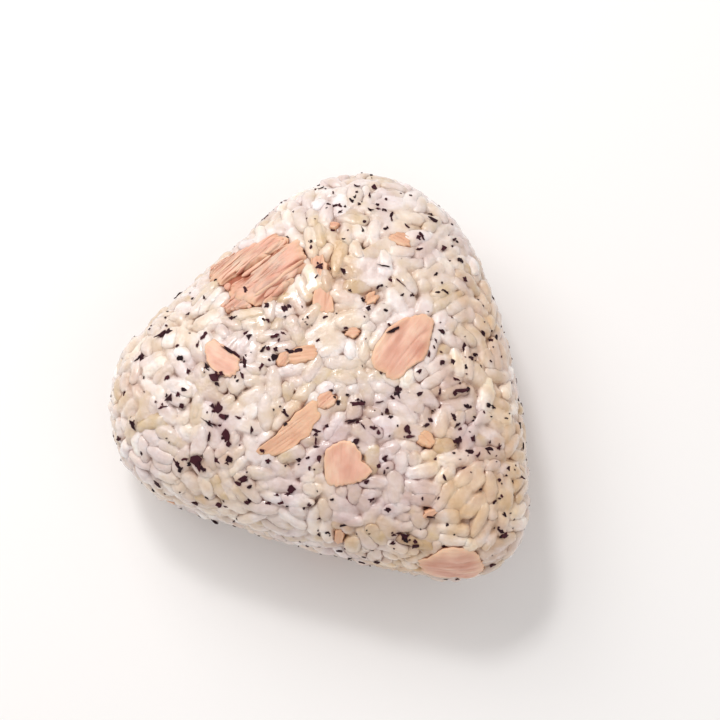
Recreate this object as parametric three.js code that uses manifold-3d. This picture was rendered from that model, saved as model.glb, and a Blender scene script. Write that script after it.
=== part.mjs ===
// An onigiri: a hand-pressed, rounded triangular ball of cooked short-grain rice, mixed with flaked
// tuna and dried red shiso. It lies on its back with its pressed face up. The origin is the middle
// of the flat spot that it rests on, +X runs along its foot side, +Y points to its apex and +Z is
// up. Every length is in millimetres.

import * as THREE from "three";
import { mergeVertices } from "three/addons/utils/BufferGeometryUtils.js";
import Module from "manifold-3d";

// ---------- Driving dimensions ----------

// Seen from above, the ball is three round corners joined by three slightly bulging sides.
const CORNERS = [
  { x: -19.8, y: -12.4, radius: 19.8 }, // left end of the foot side
  { x: 29.2, y: -12.4, radius: 13.4 }, // right end of the foot side
  { x: -2.5, y: 17.2, radius: 23.3 }, // apex
];
const SIDE_RADII = [264, 113, 600]; // foot side, right side and left side
const THICKNESS = 41; // from the middle of one face to the middle of the other, before it settles
const SQUARENESS = 2.8; // 2 would be an ellipsoid, and a higher number has flatter faces
const FLAT_SPOT_DEPTH = 2.2; // how much the rice gives where the ball rests on its back

// Cooked short-grain rice, swollen to about one and a half times its dry length.
const GRAIN_LENGTH = 7.4;
const GRAIN_WIDTH = 3.1;
const GRAIN_HEIGHT = 2.7;
const GRAIN_STAND = 1.3; // how far the outermost grains stand off the packed core
const GRAIN_CLEARANCE = 3.0; // least distance between the middle lines of two grains
const GRAIN_TILT = 0.15; // radians by which a grain's ends may rise or dip
const SIZE_SPREAD = 0.12; // share by which a grain may be larger or smaller
const GRAIN_DRAWS = 120000; // places drawn, most of which are already taken

// Crumbs of tuna and the largest flecks of dried red shiso, stuck to the rice.
const CRUMB = { count: 12, length: 4.6, width: 3.4, height: 2.4, rise: -0.4 };
const FLECK = { count: 12, length: 3.2, width: 2.0, height: 0.8, rise: -0.7 };

// Flaked tuna. A flake lies in the outer layer of rice, a little gap all round it.
const FLAKE_RISE = 0.5; // how far a flake's middle stands out of the outer layer
const FLAKE_GAP = 0.35;
const RICE_CLEARANCE = 2.1; // a grain's middle line keeps this far from a flake

// ---------- Seeded random numbers ----------

function randomFrom(seed) {
  let state = seed;
  return () => {
    state = (Math.imul(state, 1664525) + 1013904223) >>> 0;
    return state / 2 ** 32;
  };
}
const spread = (random, amount) => (2 * random() - 1) * amount;

// ---------- The ball's shape ----------

// The centre of a side's arc, which touches the circles of both its corners from outside them.
function sideCentre(a, b, radius) {
  const alongX = b.x - a.x;
  const alongY = b.y - a.y;
  const span = Math.hypot(alongX, alongY);
  const toA = radius - a.radius;
  const toB = radius - b.radius;
  const foot = (toA ** 2 - toB ** 2 + span ** 2) / (2 * span);
  const depth = Math.sqrt(toA ** 2 - foot ** 2);
  return {
    x: a.x + (alongX * foot - alongY * depth) / span,
    y: a.y + (alongY * foot + alongX * depth) / span,
  };
}

// Points round the outline, anticlockwise, a few to each corner and fewer to each long side.
function outlinePoints(cornerSteps, sideSteps) {
  const points = [];
  const centres = CORNERS.map((corner, i) =>
    sideCentre(corner, CORNERS[(i + 1) % 3], SIDE_RADII[i]),
  );
  const angleTo = (from, to) => Math.atan2(to.y - from.y, to.x - from.x);
  const addArc = (centre, radius, start, end, steps) => {
    const sweep = (end - start + 2 * Math.PI) % (2 * Math.PI);
    for (let i = 0; i < steps; i++) {
      const angle = start + (sweep * i) / steps;
      points.push(
        new THREE.Vector2(
          centre.x + radius * Math.cos(angle),
          centre.y + radius * Math.sin(angle),
        ),
      );
    }
  };
  CORNERS.forEach((corner, i) => {
    const next = CORNERS[(i + 1) % 3];
    const before = centres[(i + 2) % 3];
    const after = centres[i];
    addArc(corner, corner.radius, angleTo(before, corner), angleTo(after, corner), cornerSteps);
    addArc(after, SIDE_RADII[i], angleTo(after, corner), angleTo(after, next), sideSteps);
  });
  return points;
}

// The outline as half-planes, each scaled so that it reads 1 on the outline and 0 at the origin.
const OUTLINE = outlinePoints(7, 3);
const HALF_PLANES = OUTLINE.map((a, i) => {
  const b = OUTLINE[(i + 1) % OUTLINE.length];
  const normal = new THREE.Vector2(b.y - a.y, a.x - b.x);
  return normal.divideScalar(normal.dot(a));
});

const CENTRE = new THREE.Vector3(0, 0, THICKNESS / 2 - FLAT_SPOT_DEPTH);

// How far out a point is, seen from the ball's centre: 1 on the surface and 0 at the centre.
function gauge(fromCentre) {
  const flat = new THREE.Vector2(fromCentre.x, fromCentre.y);
  const across = Math.max(...HALF_PLANES.map((plane) => plane.dot(flat)));
  const up = Math.abs(fromCentre.z) / (THICKNESS / 2);
  return (across ** SQUARENESS + up ** SQUARENESS) ** (1 / SQUARENESS);
}

// The point of the surface that lies in this direction from the centre.
function surfacePoint(direction) {
  return direction.clone().divideScalar(gauge(direction)).add(CENTRE);
}

// The surface's outward normal there, by finite differences of the gauge.
function surfaceNormal(point) {
  const step = 0.05;
  const local = point.clone().sub(CENTRE);
  const slope = (axis) =>
    gauge(local.clone().addScaledVector(axis, step)) -
    gauge(local.clone().addScaledVector(axis, -step));
  return new THREE.Vector3(
    slope(new THREE.Vector3(1, 0, 0)),
    slope(new THREE.Vector3(0, 1, 0)),
    slope(new THREE.Vector3(0, 0, 1)),
  ).normalize();
}

// A frame on the surface: its outward axis is z, and x points along the heading, which is measured
// from +X, or from the upward direction on a steep side.
function surfaceFrame(direction, heading) {
  const point = surfacePoint(direction);
  const outward = surfaceNormal(point);
  const reference =
    Math.abs(outward.x) < 0.9 ? new THREE.Vector3(1, 0, 0) : new THREE.Vector3(0, 0, 1);
  const along = reference.projectOnPlane(outward).normalize();
  along.applyAxisAngle(outward, heading);
  const across = outward.clone().cross(along);
  return { point, along, across, outward };
}

// ---------- From three.js geometry to solids and back ----------

const wasm = await Module();
wasm.setup();

function solidFrom(geometry) {
  const bare = geometry.clone();
  bare.deleteAttribute("normal");
  bare.deleteAttribute("uv");
  const merged = mergeVertices(bare, 1e-3);
  return new wasm.Manifold(
    new wasm.Mesh({
      numProp: 3,
      vertProperties: merged.getAttribute("position").array,
      triVerts: new Uint32Array(merged.index.array),
    }),
  );
}

function geometryFrom(solid) {
  const { vertProperties, triVerts } = solid.getMesh();
  const geometry = new THREE.BufferGeometry();
  geometry.setAttribute("position", new THREE.BufferAttribute(vertProperties, 3));
  geometry.setIndex(new THREE.BufferAttribute(triVerts, 1));
  geometry.computeVertexNormals();
  return geometry;
}

const joined = (solids) => solids.reduce((whole, solid) => whole.add(solid));

// ---------- Flaked tuna ----------

// Lays a flat geometry on the ball: its x and y follow the surface and its z stands off it.
function drape(geometry, frame) {
  const laid = geometry.clone();
  const position = laid.getAttribute("position");
  const local = new THREE.Vector3();
  for (let i = 0; i < position.count; i++) {
    local.fromBufferAttribute(position, i);
    const beside = frame.point
      .clone()
      .addScaledVector(frame.along, local.x)
      .addScaledVector(frame.across, local.y)
      .sub(CENTRE);
    const laidPoint = surfacePoint(beside).addScaledVector(frame.outward, local.z);
    position.setXYZ(i, laidPoint.x, laidPoint.y, laidPoint.z);
  }
  return laid;
}

// A chunk is a bundle of muscle strands, side by side, each a little off line and off length.
function strandParts(flake, grow) {
  const random = randomFrom(flake.seed);
  const pitch = flake.width / flake.strands;
  return Array.from({ length: flake.strands }, (_, i) => {
    const strand = new THREE.SphereGeometry(1, 6, 4);
    strand.rotateZ(Math.PI / 2);
    strand.scale(
      (flake.length / 2) * (1 - 0.25 * random()) + grow,
      pitch * 0.78 + grow,
      (flake.thickness / 2) * (1 - 0.2 * random()) + grow,
    );
    strand.rotateZ(spread(random, 0.07));
    strand.translate(
      spread(random, flake.length * 0.08),
      (i - (flake.strands - 1) / 2) * pitch,
      FLAKE_RISE - flake.thickness / 2,
    );
    return strand;
  });
}

// A flat flake is a sheet broken across the strands, with an uneven many-sided edge.
function sheetPart(flake, grow) {
  const random = randomFrom(flake.seed);
  const shape = new THREE.Shape();
  const bevel = flake.thickness * 0.3;
  for (let i = 0; i < flake.sides; i++) {
    const angle = (2 * Math.PI * (i + spread(random, 0.25))) / flake.sides;
    const reach = 1 - 0.22 * random();
    const x = Math.cos(angle) * ((flake.length / 2) * reach - bevel + grow);
    const y = Math.sin(angle) * ((flake.width / 2) * reach - bevel + grow);
    if (i === 0) shape.moveTo(x, y);
    else shape.lineTo(x, y);
  }
  shape.closePath();
  const sheet = new THREE.ExtrudeGeometry(shape, {
    depth: flake.thickness - 2 * bevel + 2 * grow,
    bevelEnabled: true,
    bevelThickness: bevel,
    bevelSize: bevel,
    bevelSegments: 1,
    steps: 1,
  });
  return [sheet.translate(0, 0, FLAKE_RISE - flake.thickness + bevel - grow)];
}

function flakeSolid(flake, grow = 0) {
  const parts = flake.strands ? strandParts(flake, grow) : sheetPart(flake, grow);
  const frame = surfaceFrame(flake.towards, flake.heading);
  return joined(parts.map((part) => solidFrom(drape(part, frame))));
}

// On the upward face a flake is placed by its x and y, and elsewhere by its direction from the
// ball's centre.
function onFace(x, y) {
  const flat = new THREE.Vector2(x, y);
  const across = Math.max(...HALF_PLANES.map((plane) => plane.dot(flat)));
  const up = (1 - across ** SQUARENESS) ** (1 / SQUARENESS);
  return new THREE.Vector3(x, y, (up * THICKNESS) / 2);
}
const towards = (x, y, z) => new THREE.Vector3(x, y, z);
const degrees = THREE.MathUtils.degToRad;

const FLAKES = [
  // On the pressed face
  {
    name: "tuna_chunk",
    towards: onFace(-21.5, 15.5),
    heading: degrees(57),
    length: 18.5,
    width: 9.5,
    thickness: 4.2,
    strands: 4,
    seed: 3,
  },
  {
    name: "tuna_flake_upper",
    towards: onFace(8.2, 11.8),
    heading: degrees(77),
    length: 12.4,
    width: 9.6,
    thickness: 2.2,
    sides: 9,
    seed: 8,
  },
  {
    name: "tuna_flake_lower",
    towards: onFace(6.4, -12.2),
    heading: degrees(22),
    length: 9.4,
    width: 8.4,
    thickness: 2.0,
    sides: 8,
    seed: 21,
  },
  {
    name: "tuna_strip",
    towards: onFace(-4.9, -11.4),
    heading: degrees(59),
    length: 14.0,
    width: 3.6,
    thickness: 2.4,
    strands: 2,
    seed: 5,
  },
  {
    name: "tuna_patch_inner",
    towards: onFace(-10.4, 15.6),
    heading: degrees(103),
    length: 9.6,
    width: 5.6,
    thickness: 2.2,
    strands: 2,
    seed: 14,
  },
  {
    name: "tuna_patch_left",
    towards: onFace(-22.6, -3.2),
    heading: degrees(-10),
    length: 8.0,
    width: 5.6,
    thickness: 2.0,
    sides: 7,
    seed: 31,
  },
  {
    name: "tuna_foot",
    towards: onFace(30.6, -21.2),
    heading: degrees(18),
    length: 13.8,
    width: 6.6,
    thickness: 3.2,
    strands: 3,
    seed: 9,
  },
  // On the sides
  {
    name: "tuna_left_side",
    towards: towards(-34, 8, -3),
    heading: degrees(70),
    length: 11.5,
    width: 6.0,
    thickness: 2.6,
    strands: 3,
    seed: 17,
  },
  {
    name: "tuna_right_side",
    towards: towards(27, 13, -5),
    heading: degrees(35),
    length: 10.5,
    width: 8.0,
    thickness: 2.2,
    sides: 8,
    seed: 12,
  },
  // On the back, clear of the flat spot
  {
    name: "tuna_back_foot",
    towards: towards(9, -27, -13),
    heading: degrees(12),
    length: 12.5,
    width: 5.6,
    thickness: 2.6,
    strands: 3,
    seed: 26,
  },
  {
    name: "tuna_back_apex",
    towards: towards(-4, 33, -11),
    heading: degrees(-25),
    length: 10.0,
    width: 7.6,
    thickness: 2.2,
    sides: 8,
    seed: 40,
  },
];

// ---------- Rice ----------

// A piece's middle line as points, which stand for it when pieces are kept apart.
function middleLine(frame, length) {
  return [-0.36, -0.18, 0, 0.18, 0.36].map((share) =>
    frame.point.clone().addScaledVector(frame.along, share * length),
  );
}

function crossesFlake(line) {
  return FLAKES.some((flake) => {
    const frame = surfaceFrame(flake.towards, flake.heading);
    return line.some((point) => {
      const offset = point.clone().sub(frame.point);
      const along = offset.dot(frame.along) / (flake.length / 2 + RICE_CLEARANCE);
      const across = offset.dot(frame.across) / (flake.width / 2 + RICE_CLEARANCE);
      const away = Math.abs(offset.dot(frame.outward));
      return along ** 4 + across ** 4 < 1 && away < flake.thickness + GRAIN_HEIGHT;
    });
  });
}

// Evenly spread pieces: places and headings are drawn all over the ball, and one is kept only
// where it lies clear of all the earlier ones, of the flakes and of the table.
function layPieces(laid, kind, random) {
  const { count, draws, length, clearance } = kind;
  const pieces = [];
  for (let i = 0; i < draws && pieces.length < count; i++) {
    const direction = new THREE.Vector3(spread(random, 1), spread(random, 1), spread(random, 1));
    const point = surfacePoint(direction);
    const scale = 1 + spread(random, SIZE_SPREAD);
    const near = laid.filter((other) => other.point.distanceTo(point) < GRAIN_LENGTH * 1.1);
    if (point.z < FLAT_SPOT_DEPTH / 2) continue;
    if (near.some((other) => other.point.distanceTo(point) < clearance)) continue;
    const frame = surfaceFrame(direction, Math.PI * random());
    const line = middleLine(frame, length * scale);
    const clear = near.every((other) =>
      other.line.every((a) => line.every((b) => a.distanceTo(b) > clearance)),
    );
    if (!clear || crossesFlake(line)) continue;
    pieces.push({ frame, scale });
    laid.push({ point, line });
  }
  return pieces;
}

// Places a shape made at the origin, with its length along x, on the ball.
function seat(shape, size, rise, piece, random) {
  shape.scale(
    (size.length / 2) * piece.scale,
    (size.width / 2) * piece.scale,
    (size.height / 2) * piece.scale,
  );
  shape.rotateY(spread(random, GRAIN_TILT));
  shape.translate(0, 0, rise);
  const { along, across, outward, point } = piece.frame;
  shape.applyMatrix4(new THREE.Matrix4().makeBasis(along, across, outward).setPosition(point));
  return solidFrom(shape);
}

// A grain is a plump spindle with its tips along its heading, sunk to its waist in the core.
function grainSolid(grain, random) {
  const size = { length: GRAIN_LENGTH, width: GRAIN_WIDTH, height: GRAIN_HEIGHT };
  const spindle = new THREE.SphereGeometry(1, 5, 3).rotateZ(Math.PI / 2);
  return seat(spindle, size, -GRAIN_HEIGHT / 2, grain, random);
}

const crumbSolid = (crumb, random) =>
  seat(new THREE.IcosahedronGeometry(1, 0), CRUMB, CRUMB.rise, crumb, random);

const fleckSolid = (fleck, random) =>
  seat(new THREE.OctahedronGeometry(1, 0), FLECK, FLECK.rise, fleck, random);

// The packed rice under the outer grains: rings of the outline, drawn in by the ball's gauge.
function coreGeometry() {
  const rows = 10;
  const ring = OUTLINE.length;
  const points = [];
  const faces = [];
  const addPoint = (direction) => {
    const point = surfacePoint(direction);
    point.addScaledVector(surfaceNormal(point), -GRAIN_STAND);
    points.push(point.x, point.y, point.z);
  };
  addPoint(new THREE.Vector3(0, 0, -1));
  for (let row = 1; row < rows; row++) {
    const latitude = Math.PI * (row / rows - 0.5);
    for (const rim of OUTLINE) {
      const level = Math.cos(latitude);
      addPoint(
        new THREE.Vector3(rim.x * level, rim.y * level, (Math.sin(latitude) * THICKNESS) / 2),
      );
    }
  }
  addPoint(new THREE.Vector3(0, 0, 1));
  const at = (row, i) => 1 + (row - 1) * ring + (i % ring);
  const top = 1 + (rows - 1) * ring;
  for (let i = 0; i < ring; i++) {
    faces.push(0, at(1, i + 1), at(1, i));
    for (let row = 1; row < rows - 1; row++) {
      faces.push(at(row, i), at(row, i + 1), at(row + 1, i + 1));
      faces.push(at(row, i), at(row + 1, i + 1), at(row + 1, i));
    }
    faces.push(at(rows - 1, i), at(rows - 1, i + 1), top);
  }
  const geometry = new THREE.BufferGeometry();
  geometry.setAttribute("position", new THREE.Float32BufferAttribute(points, 3));
  geometry.setIndex(faces);
  return geometry;
}

// What lies below the surface that the ball rests on, and is pressed away.
function belowTable() {
  const size = 3 * THICKNESS;
  return solidFrom(new THREE.BoxGeometry(size, size, size).translate(0, 0, -size / 2));
}

function riceSolid() {
  const random = randomFrom(2024);
  const pockets = joined(FLAKES.map((flake) => flakeSolid(flake, FLAKE_GAP).hull()));
  const taken = [];
  const kinds = [
    [{ ...CRUMB, draws: 4000, clearance: GRAIN_CLEARANCE }, crumbSolid],
    [{ ...FLECK, draws: 4000, clearance: GRAIN_CLEARANCE }, fleckSolid],
    [
      { count: Infinity, draws: GRAIN_DRAWS, length: GRAIN_LENGTH, clearance: GRAIN_CLEARANCE },
      grainSolid,
    ],
  ];
  const pieces = kinds.flatMap(([kind, solid]) =>
    layPieces(taken, kind, random).map((piece) => solid(piece, random)),
  );
  const core = solidFrom(coreGeometry()).subtract(pockets);
  const parts = joined([core, ...pieces]).subtract(belowTable()).decompose();
  return parts.reduce((a, b) => (a.volume() > b.volume() ? a : b));
}

// ---------- The onigiri ----------

const rice = new THREE.MeshStandardMaterial({ color: "#e9dcca", roughness: 0.5, metalness: 0 });
const tuna = new THREE.MeshStandardMaterial({ color: "#e6b79c", roughness: 0.6, metalness: 0 });

function addPiece(group, name, solid, material) {
  const mesh = new THREE.Mesh(geometryFrom(solid), material);
  mesh.name = name;
  group.add(mesh);
}

const onigiri = new THREE.Group();
onigiri.name = "onigiri";
addPiece(onigiri, "rice_body", riceSolid(), rice);
for (const flake of FLAKES) addPiece(onigiri, flake.name, flakeSolid(flake), tuna);

export default onigiri;
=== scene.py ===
# %% [markdown]
# # An onigiri with flaked tuna and dried red shiso
#
# A rice ball is a heap of some two thousand soft grains that hands have pressed into a rounded
# triangle. Nothing on it is smooth or alike, so almost all of its look comes from the grains:
# how plump they are, how they lie against each other, and what sticks to them.
#
# The lesson goes from the inside out. It settles the grains with a small simulation, has Geometry
# Nodes turn each of them into a mesh, presses them flat where the hands were, and then adds the
# tuna, the shiso, the finishes and the light.

# %% Libraries and the model's frame
import math

import bmesh
import bpy
import numpy as np
from mathutils import Matrix, Vector
from mathutils.bvhtree import BVHTree


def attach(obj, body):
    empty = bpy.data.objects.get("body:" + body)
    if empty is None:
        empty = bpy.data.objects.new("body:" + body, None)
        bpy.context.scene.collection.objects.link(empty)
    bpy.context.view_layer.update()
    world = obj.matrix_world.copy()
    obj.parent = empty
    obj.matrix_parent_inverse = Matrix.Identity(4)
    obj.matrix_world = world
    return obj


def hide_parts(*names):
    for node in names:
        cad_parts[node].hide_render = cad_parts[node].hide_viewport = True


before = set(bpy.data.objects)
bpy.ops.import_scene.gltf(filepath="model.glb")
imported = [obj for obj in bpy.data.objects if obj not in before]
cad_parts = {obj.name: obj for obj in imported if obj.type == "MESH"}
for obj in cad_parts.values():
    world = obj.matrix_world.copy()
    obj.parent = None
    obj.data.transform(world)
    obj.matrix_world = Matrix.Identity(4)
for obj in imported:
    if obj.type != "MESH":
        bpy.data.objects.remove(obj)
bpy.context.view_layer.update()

# %% [markdown]
# ## Units, colours and nodes
#
# Blender works in metres and in linear colour, while a cook thinks in millimetres and a painter in
# the hex codes of a screen. Two rules settle that: every length below is in millimetres until it
# becomes a mesh, and every colour goes through one function.

# %% Colours and nodes
MM = 0.001


def linear(code):
    """The linear RGBA numbers of an sRGB hex code."""
    channels = [int(code[i : i + 2], 16) / 255 for i in (1, 3, 5)]
    return (*[c / 12.92 if c <= 0.04045 else ((c + 0.055) / 1.055) ** 2.4 for c in channels], 1.0)


def add(tree, kind, links=None, **settings):
    """Adds a node with its settings. Each input gets a value or another node's output."""
    node = tree.nodes.new(kind)
    for name, value in settings.items():
        setattr(node, name, value)
    for socket, source in (links or {}).items():
        if isinstance(source, bpy.types.Node):
            source = next(output for output in source.outputs if output.enabled)
        if isinstance(source, bpy.types.NodeSocket):
            tree.links.new(source, node.inputs[socket])
        else:
            node.inputs[socket].default_value = source
    return node


def calc(tree, operation, *values):
    """Adds a maths node with these inputs."""
    return add(tree, "ShaderNodeMath", dict(enumerate(values)), operation=operation)


def times(tree, first, *others):
    """Adds the nodes that multiply these, one after another."""
    for other in others:
        first = calc(tree, "MULTIPLY", first, other)
    return first


# %% Pieces and what they carry
def put_in_scene(name, data):
    made = bpy.data.objects.new(name, data)
    bpy.context.collection.objects.link(made)
    return made


def mesh_object(name, points, faces, material=None):
    """A piece of the model from points in millimetres."""
    mesh = bpy.data.meshes.new(name)
    mesh.from_pydata((np.asarray(points, float) * MM).tolist(), [], faces)
    mesh.polygons.foreach_set("use_smooth", [True] * len(mesh.polygons))
    if material:
        mesh.materials.append(material)
    return put_in_scene(name, mesh)


def keep_on_points(piece, **layers):
    """Keeps a number or a vector on each point of a piece."""
    for label, values in layers.items():
        values = np.asarray(values, float)
        kind, slot = ("FLOAT", "value") if values.ndim == 1 else ("FLOAT_VECTOR", "vector")
        piece.data.attributes.new(label, kind, "POINT").data.foreach_set(slot, values.ravel())


# %% Directions
def unit(vectors):
    """The same directions at length 1."""
    return vectors / np.maximum(np.linalg.norm(vectors, axis=1), 1e-9)[:, None]


def full_turn(count):
    """Angles spread evenly round a circle."""
    return np.linspace(0, 2 * math.pi, count, endpoint=False)


def compass(angles):
    """The flat directions that these angles point in."""
    return np.stack([np.cos(angles), np.sin(angles)], 1)


# %% Smooth noise
LATTICE = np.random.default_rng(3).permutation(256)
SLOPES = np.random.default_rng(4).normal(size=(256, 3))


def wander(points, size, seed=0):
    """Smooth noise, mostly from -1 to 1, at points in mm, with bumps of this size."""
    points = np.asarray(points, float)
    if points.shape[1] == 2:
        points = np.column_stack([points, np.zeros(len(points))])
    sizes = np.ones(3) * (size if np.size(size) != 2 else (*size, 1.0))
    places = points / sizes + seed * 7.31
    cell = np.floor(places).astype(int)
    inside = places - cell
    fade = inside**3 * (inside * (inside * 6 - 15) + 10)
    total = 0
    for corner in range(8):
        step = np.array([corner >> 2, corner >> 1 & 1, corner & 1])
        at = (cell + step) & 255
        which = LATTICE[(LATTICE[(LATTICE[at[:, 0]] + at[:, 1]) & 255] + at[:, 2]) & 255]
        weight = np.where(step, fade, 1 - fade).prod(1)
        total = total + weight * (SLOPES[which] * (inside - step)).sum(1)
    return 1.1 * total


# %% [markdown]
# ## The ball's form
#
# Seen from above, the ball is three round corners joined by three sides that bulge a little. From
# the side it is a thick pad with flat faces. Both come from one formula. The outline is cut into
# many half-planes, and `across` says how far out a point is among them, while `up` says how far it
# is towards a face. A power mean of the two is 1 on the skin: a power of 2 would give an
# ellipsoid, and 2.8 gives the flatter faces of a pressed ball.

# %% The outline and the skin
CORNERS = [(-19.8, -12.4, 19.8), (29.2, -12.4, 13.4), (-2.5, 17.2, 23.3)]  # x, y and radius
SIDE_RADII = [264.0, 113.0, 600.0]  # foot side, right side and left side
THICKNESS = 41.0
SQUARENESS = 2.8
SETTLED = 2.2  # how much the ball's back gives where it lies
CENTRE = np.array([0.0, 0.0, THICKNESS / 2 - SETTLED])
HALF_SIZES = (40, 36, 20)  # the ball's, roughly, for spreading things over it


def side_centre(a, b, radius):
    """The centre of a side's arc, which touches both corner circles from outside."""
    span = math.hypot(b[0] - a[0], b[1] - a[1])
    to_a, to_b = radius - a[2], radius - b[2]
    foot = (to_a**2 - to_b**2 + span**2) / (2 * span)
    depth = math.sqrt(to_a**2 - foot**2)
    along = np.array([b[0] - a[0], b[1] - a[1]]) / span
    return np.array(a[:2]) + along * foot + np.array([-along[1], along[0]]) * depth


def arc(centre, radius, start, end, steps):
    angles = start + ((end - start) % (2 * math.pi)) * np.arange(steps) / steps
    return centre + radius * compass(angles)


def outline(corner_steps=20, side_steps=10):
    centres = [side_centre(CORNERS[i], CORNERS[(i + 1) % 3], SIDE_RADII[i]) for i in range(3)]
    towards = lambda start, end: math.atan2(end[1] - start[1], end[0] - start[0])
    arcs = []
    for i, corner in enumerate(CORNERS):
        before, after, following = centres[i - 1], centres[i], CORNERS[(i + 1) % 3]
        middle = np.array(corner[:2])
        turn = towards(before, corner), towards(after, corner), towards(after, following)
        arcs.append(arc(middle, corner[2], turn[0], turn[1], corner_steps))
        arcs.append(arc(after, SIDE_RADII[i], turn[1], turn[2], side_steps))
    return np.concatenate(arcs)


OUTLINE = outline()
ahead = np.roll(OUTLINE, -1, axis=0)
PLANES = np.stack([ahead[:, 1] - OUTLINE[:, 1], OUTLINE[:, 0] - ahead[:, 0]], 1)
PLANES /= (PLANES * OUTLINE).sum(1)[:, None]


def skin(points):
    """How far each point is outside the ball, and the direction that leads out."""
    local = points - CENTRE
    reach = local[:, :2] @ PLANES.T
    across, up = reach.max(1), np.abs(local[:, 2]) / (THICKNESS / 2)
    gauge = np.maximum((across**SQUARENESS + up**SQUARENESS) ** (1 / SQUARENESS), 1e-6)
    slope = np.empty_like(local)
    slope[:, :2] = PLANES[reach.argmax(1)] * ((across / gauge) ** (SQUARENESS - 1))[:, None]
    slope[:, 2] = np.sign(local[:, 2]) * (up / gauge) ** (SQUARENESS - 1) / (THICKNESS / 2)
    steepness = np.linalg.norm(slope, axis=1)
    outside, outward = (gauge - 1) / steepness, slope / steepness[:, None]
    on_table = -points[:, 2] > outside
    outside = np.where(on_table, -points[:, 2], outside)
    outward[on_table] = (0, 0, -1)
    return outside, outward


def surface_point(direction):
    """The skin's point in this direction from the ball's centre."""
    direction = np.atleast_2d(np.asarray(direction, float))
    across = (direction[:, :2] @ PLANES.T).max(1)
    up = np.abs(direction[:, 2]) / (THICKNESS / 2)
    gauge = (across**SQUARENESS + up**SQUARENESS) ** (1 / SQUARENESS)
    return direction / gauge[:, None] + CENTRE


def anywhere(random):
    """A random direction from the ball's centre."""
    return random.normal(size=3) * HALF_SIZES


print("outline:", len(OUTLINE), "points,", np.ptp(OUTLINE, axis=0).round(1), "mm")

# %% [markdown]
# ## The camera comes first
#
# The camera looks down on the pressed face. A long lens from a little over half a metre keeps the
# ball's outline calm, as food is usually shown. It is made before the pieces because the tuna and
# the larger flecks of shiso are placed through it: a place in the picture becomes a ray, and the
# piece lies where that ray meets the ball.

# %% Camera
AZIMUTH, ELEVATION = math.radians(22.7), math.radians(80)
DISTANCE = 600.0  # mm from the middle of the ball
PICTURE = 720  # pixels each way
PIXELS_PER_MM = 5.33  # at the ball's middle
MIDDLE_IN_PICTURE = (338.2, 388.2)  # where the ball's middle shows

backwards = np.array(
    [
        math.sin(AZIMUTH) * math.cos(ELEVATION),
        -math.cos(AZIMUTH) * math.cos(ELEVATION),
        math.sin(ELEVATION),
    ]
)
right = np.array([math.cos(AZIMUTH), math.sin(AZIMUTH), 0.0])
upwards = np.cross(backwards, right)
aim = CENTRE - (
    right * (MIDDLE_IN_PICTURE[0] - PICTURE / 2) - upwards * (MIDDLE_IN_PICTURE[1] - PICTURE / 2)
) / PIXELS_PER_MM
eye = aim + backwards * DISTANCE

camera = put_in_scene("camera", bpy.data.cameras.new("camera"))
bpy.context.scene.camera = camera
camera.data.sensor_width = 36
camera.data.lens = PIXELS_PER_MM * DISTANCE / PICTURE * camera.data.sensor_width
camera.data.clip_start, camera.data.clip_end = 0.01, 20
camera.location = Vector(eye * MM)
camera.rotation_euler = Vector(backwards).to_track_quat("Z", "Y").to_euler()


def ray_through(column, row):
    """The direction from the camera through a place in the picture."""
    aside = (column - PICTURE / 2) * right - (row - PICTURE / 2) * upwards
    direction = aside / PIXELS_PER_MM - backwards * DISTANCE
    return direction / np.linalg.norm(direction)


def in_picture(points):
    """Column and row where each point shows."""
    away = points - eye
    depth = -(away @ backwards)
    scale = PIXELS_PER_MM * DISTANCE / depth
    return np.stack([PICTURE / 2 + away @ right * scale, PICTURE / 2 - away @ upwards * scale], 1)


print("camera:", round(camera.data.lens), "mm lens, at", [round(v, 3) for v in camera.location])

# %% [markdown]
# ## The tuna's places
#
# Each flake of tuna is a solid of the model, so its place is given. Here it is only described
# again: where it lies on the skin and which way its fibres run. The grains need this before they
# settle, because they make room for the flakes. A place is x, y and z from the ball's centre, with
# no z for a flake that lies on the face above x and y.

# %% Flakes
FLAKES = {  # place and heading in degrees
    "tuna_chunk": ((-21.5, 15.5, None), 57),
    "tuna_flake_upper": ((8.2, 11.8, None), 77),
    "tuna_flake_lower": ((6.4, -12.2, None), 108),
    "tuna_strip": ((-4.9, -11.4, None), 59),
    "tuna_patch_inner": ((-10.4, 15.6, None), 103),
    "tuna_patch_left": ((-22.6, -3.2, None), -10),
    "tuna_foot": ((30.6, -21.2, None), 18),
    "tuna_left_side": ((-34, 8, -3), 70),
    "tuna_right_side": ((27, 13, -5), 35),
    "tuna_back_foot": ((9, -27, -13), 12),
    "tuna_back_apex": ((-4, 33, -11), -25),
}
FLAKE_RISE = 0.35  # how far a flake's middle stands over the skin


def seat(place, heading):
    """A frame on the skin: its point, and its axes along the heading, across it and outward."""
    x, y, z = place
    if z is None:  # on the upward face, straight above x and y
        across = (np.array([[x, y]]) @ PLANES.T).max()
        z = (1 - across**SQUARENESS) ** (1 / SQUARENESS) * THICKNESS / 2
    point = surface_point((x, y, z))
    outward = skin(point)[1][0]
    reference = np.array([1.0, 0, 0]) if abs(outward[0]) < 0.9 else np.array([0, 0, 1.0])
    along = reference - outward * reference.dot(outward)
    along /= np.linalg.norm(along)
    turn = math.radians(heading)
    along = along * math.cos(turn) + np.cross(outward, along) * math.sin(turn)
    return point[0], along, np.cross(outward, along), outward


def drape(local, place, heading):
    """Lays flat points on the ball: x and y follow the skin and z stands off it."""
    point, along, across, outward = seat(place, heading)
    beside = point + local[:, :1] * along + local[:, 1:2] * across - CENTRE
    return surface_point(beside) + local[:, 2:] * outward


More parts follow.
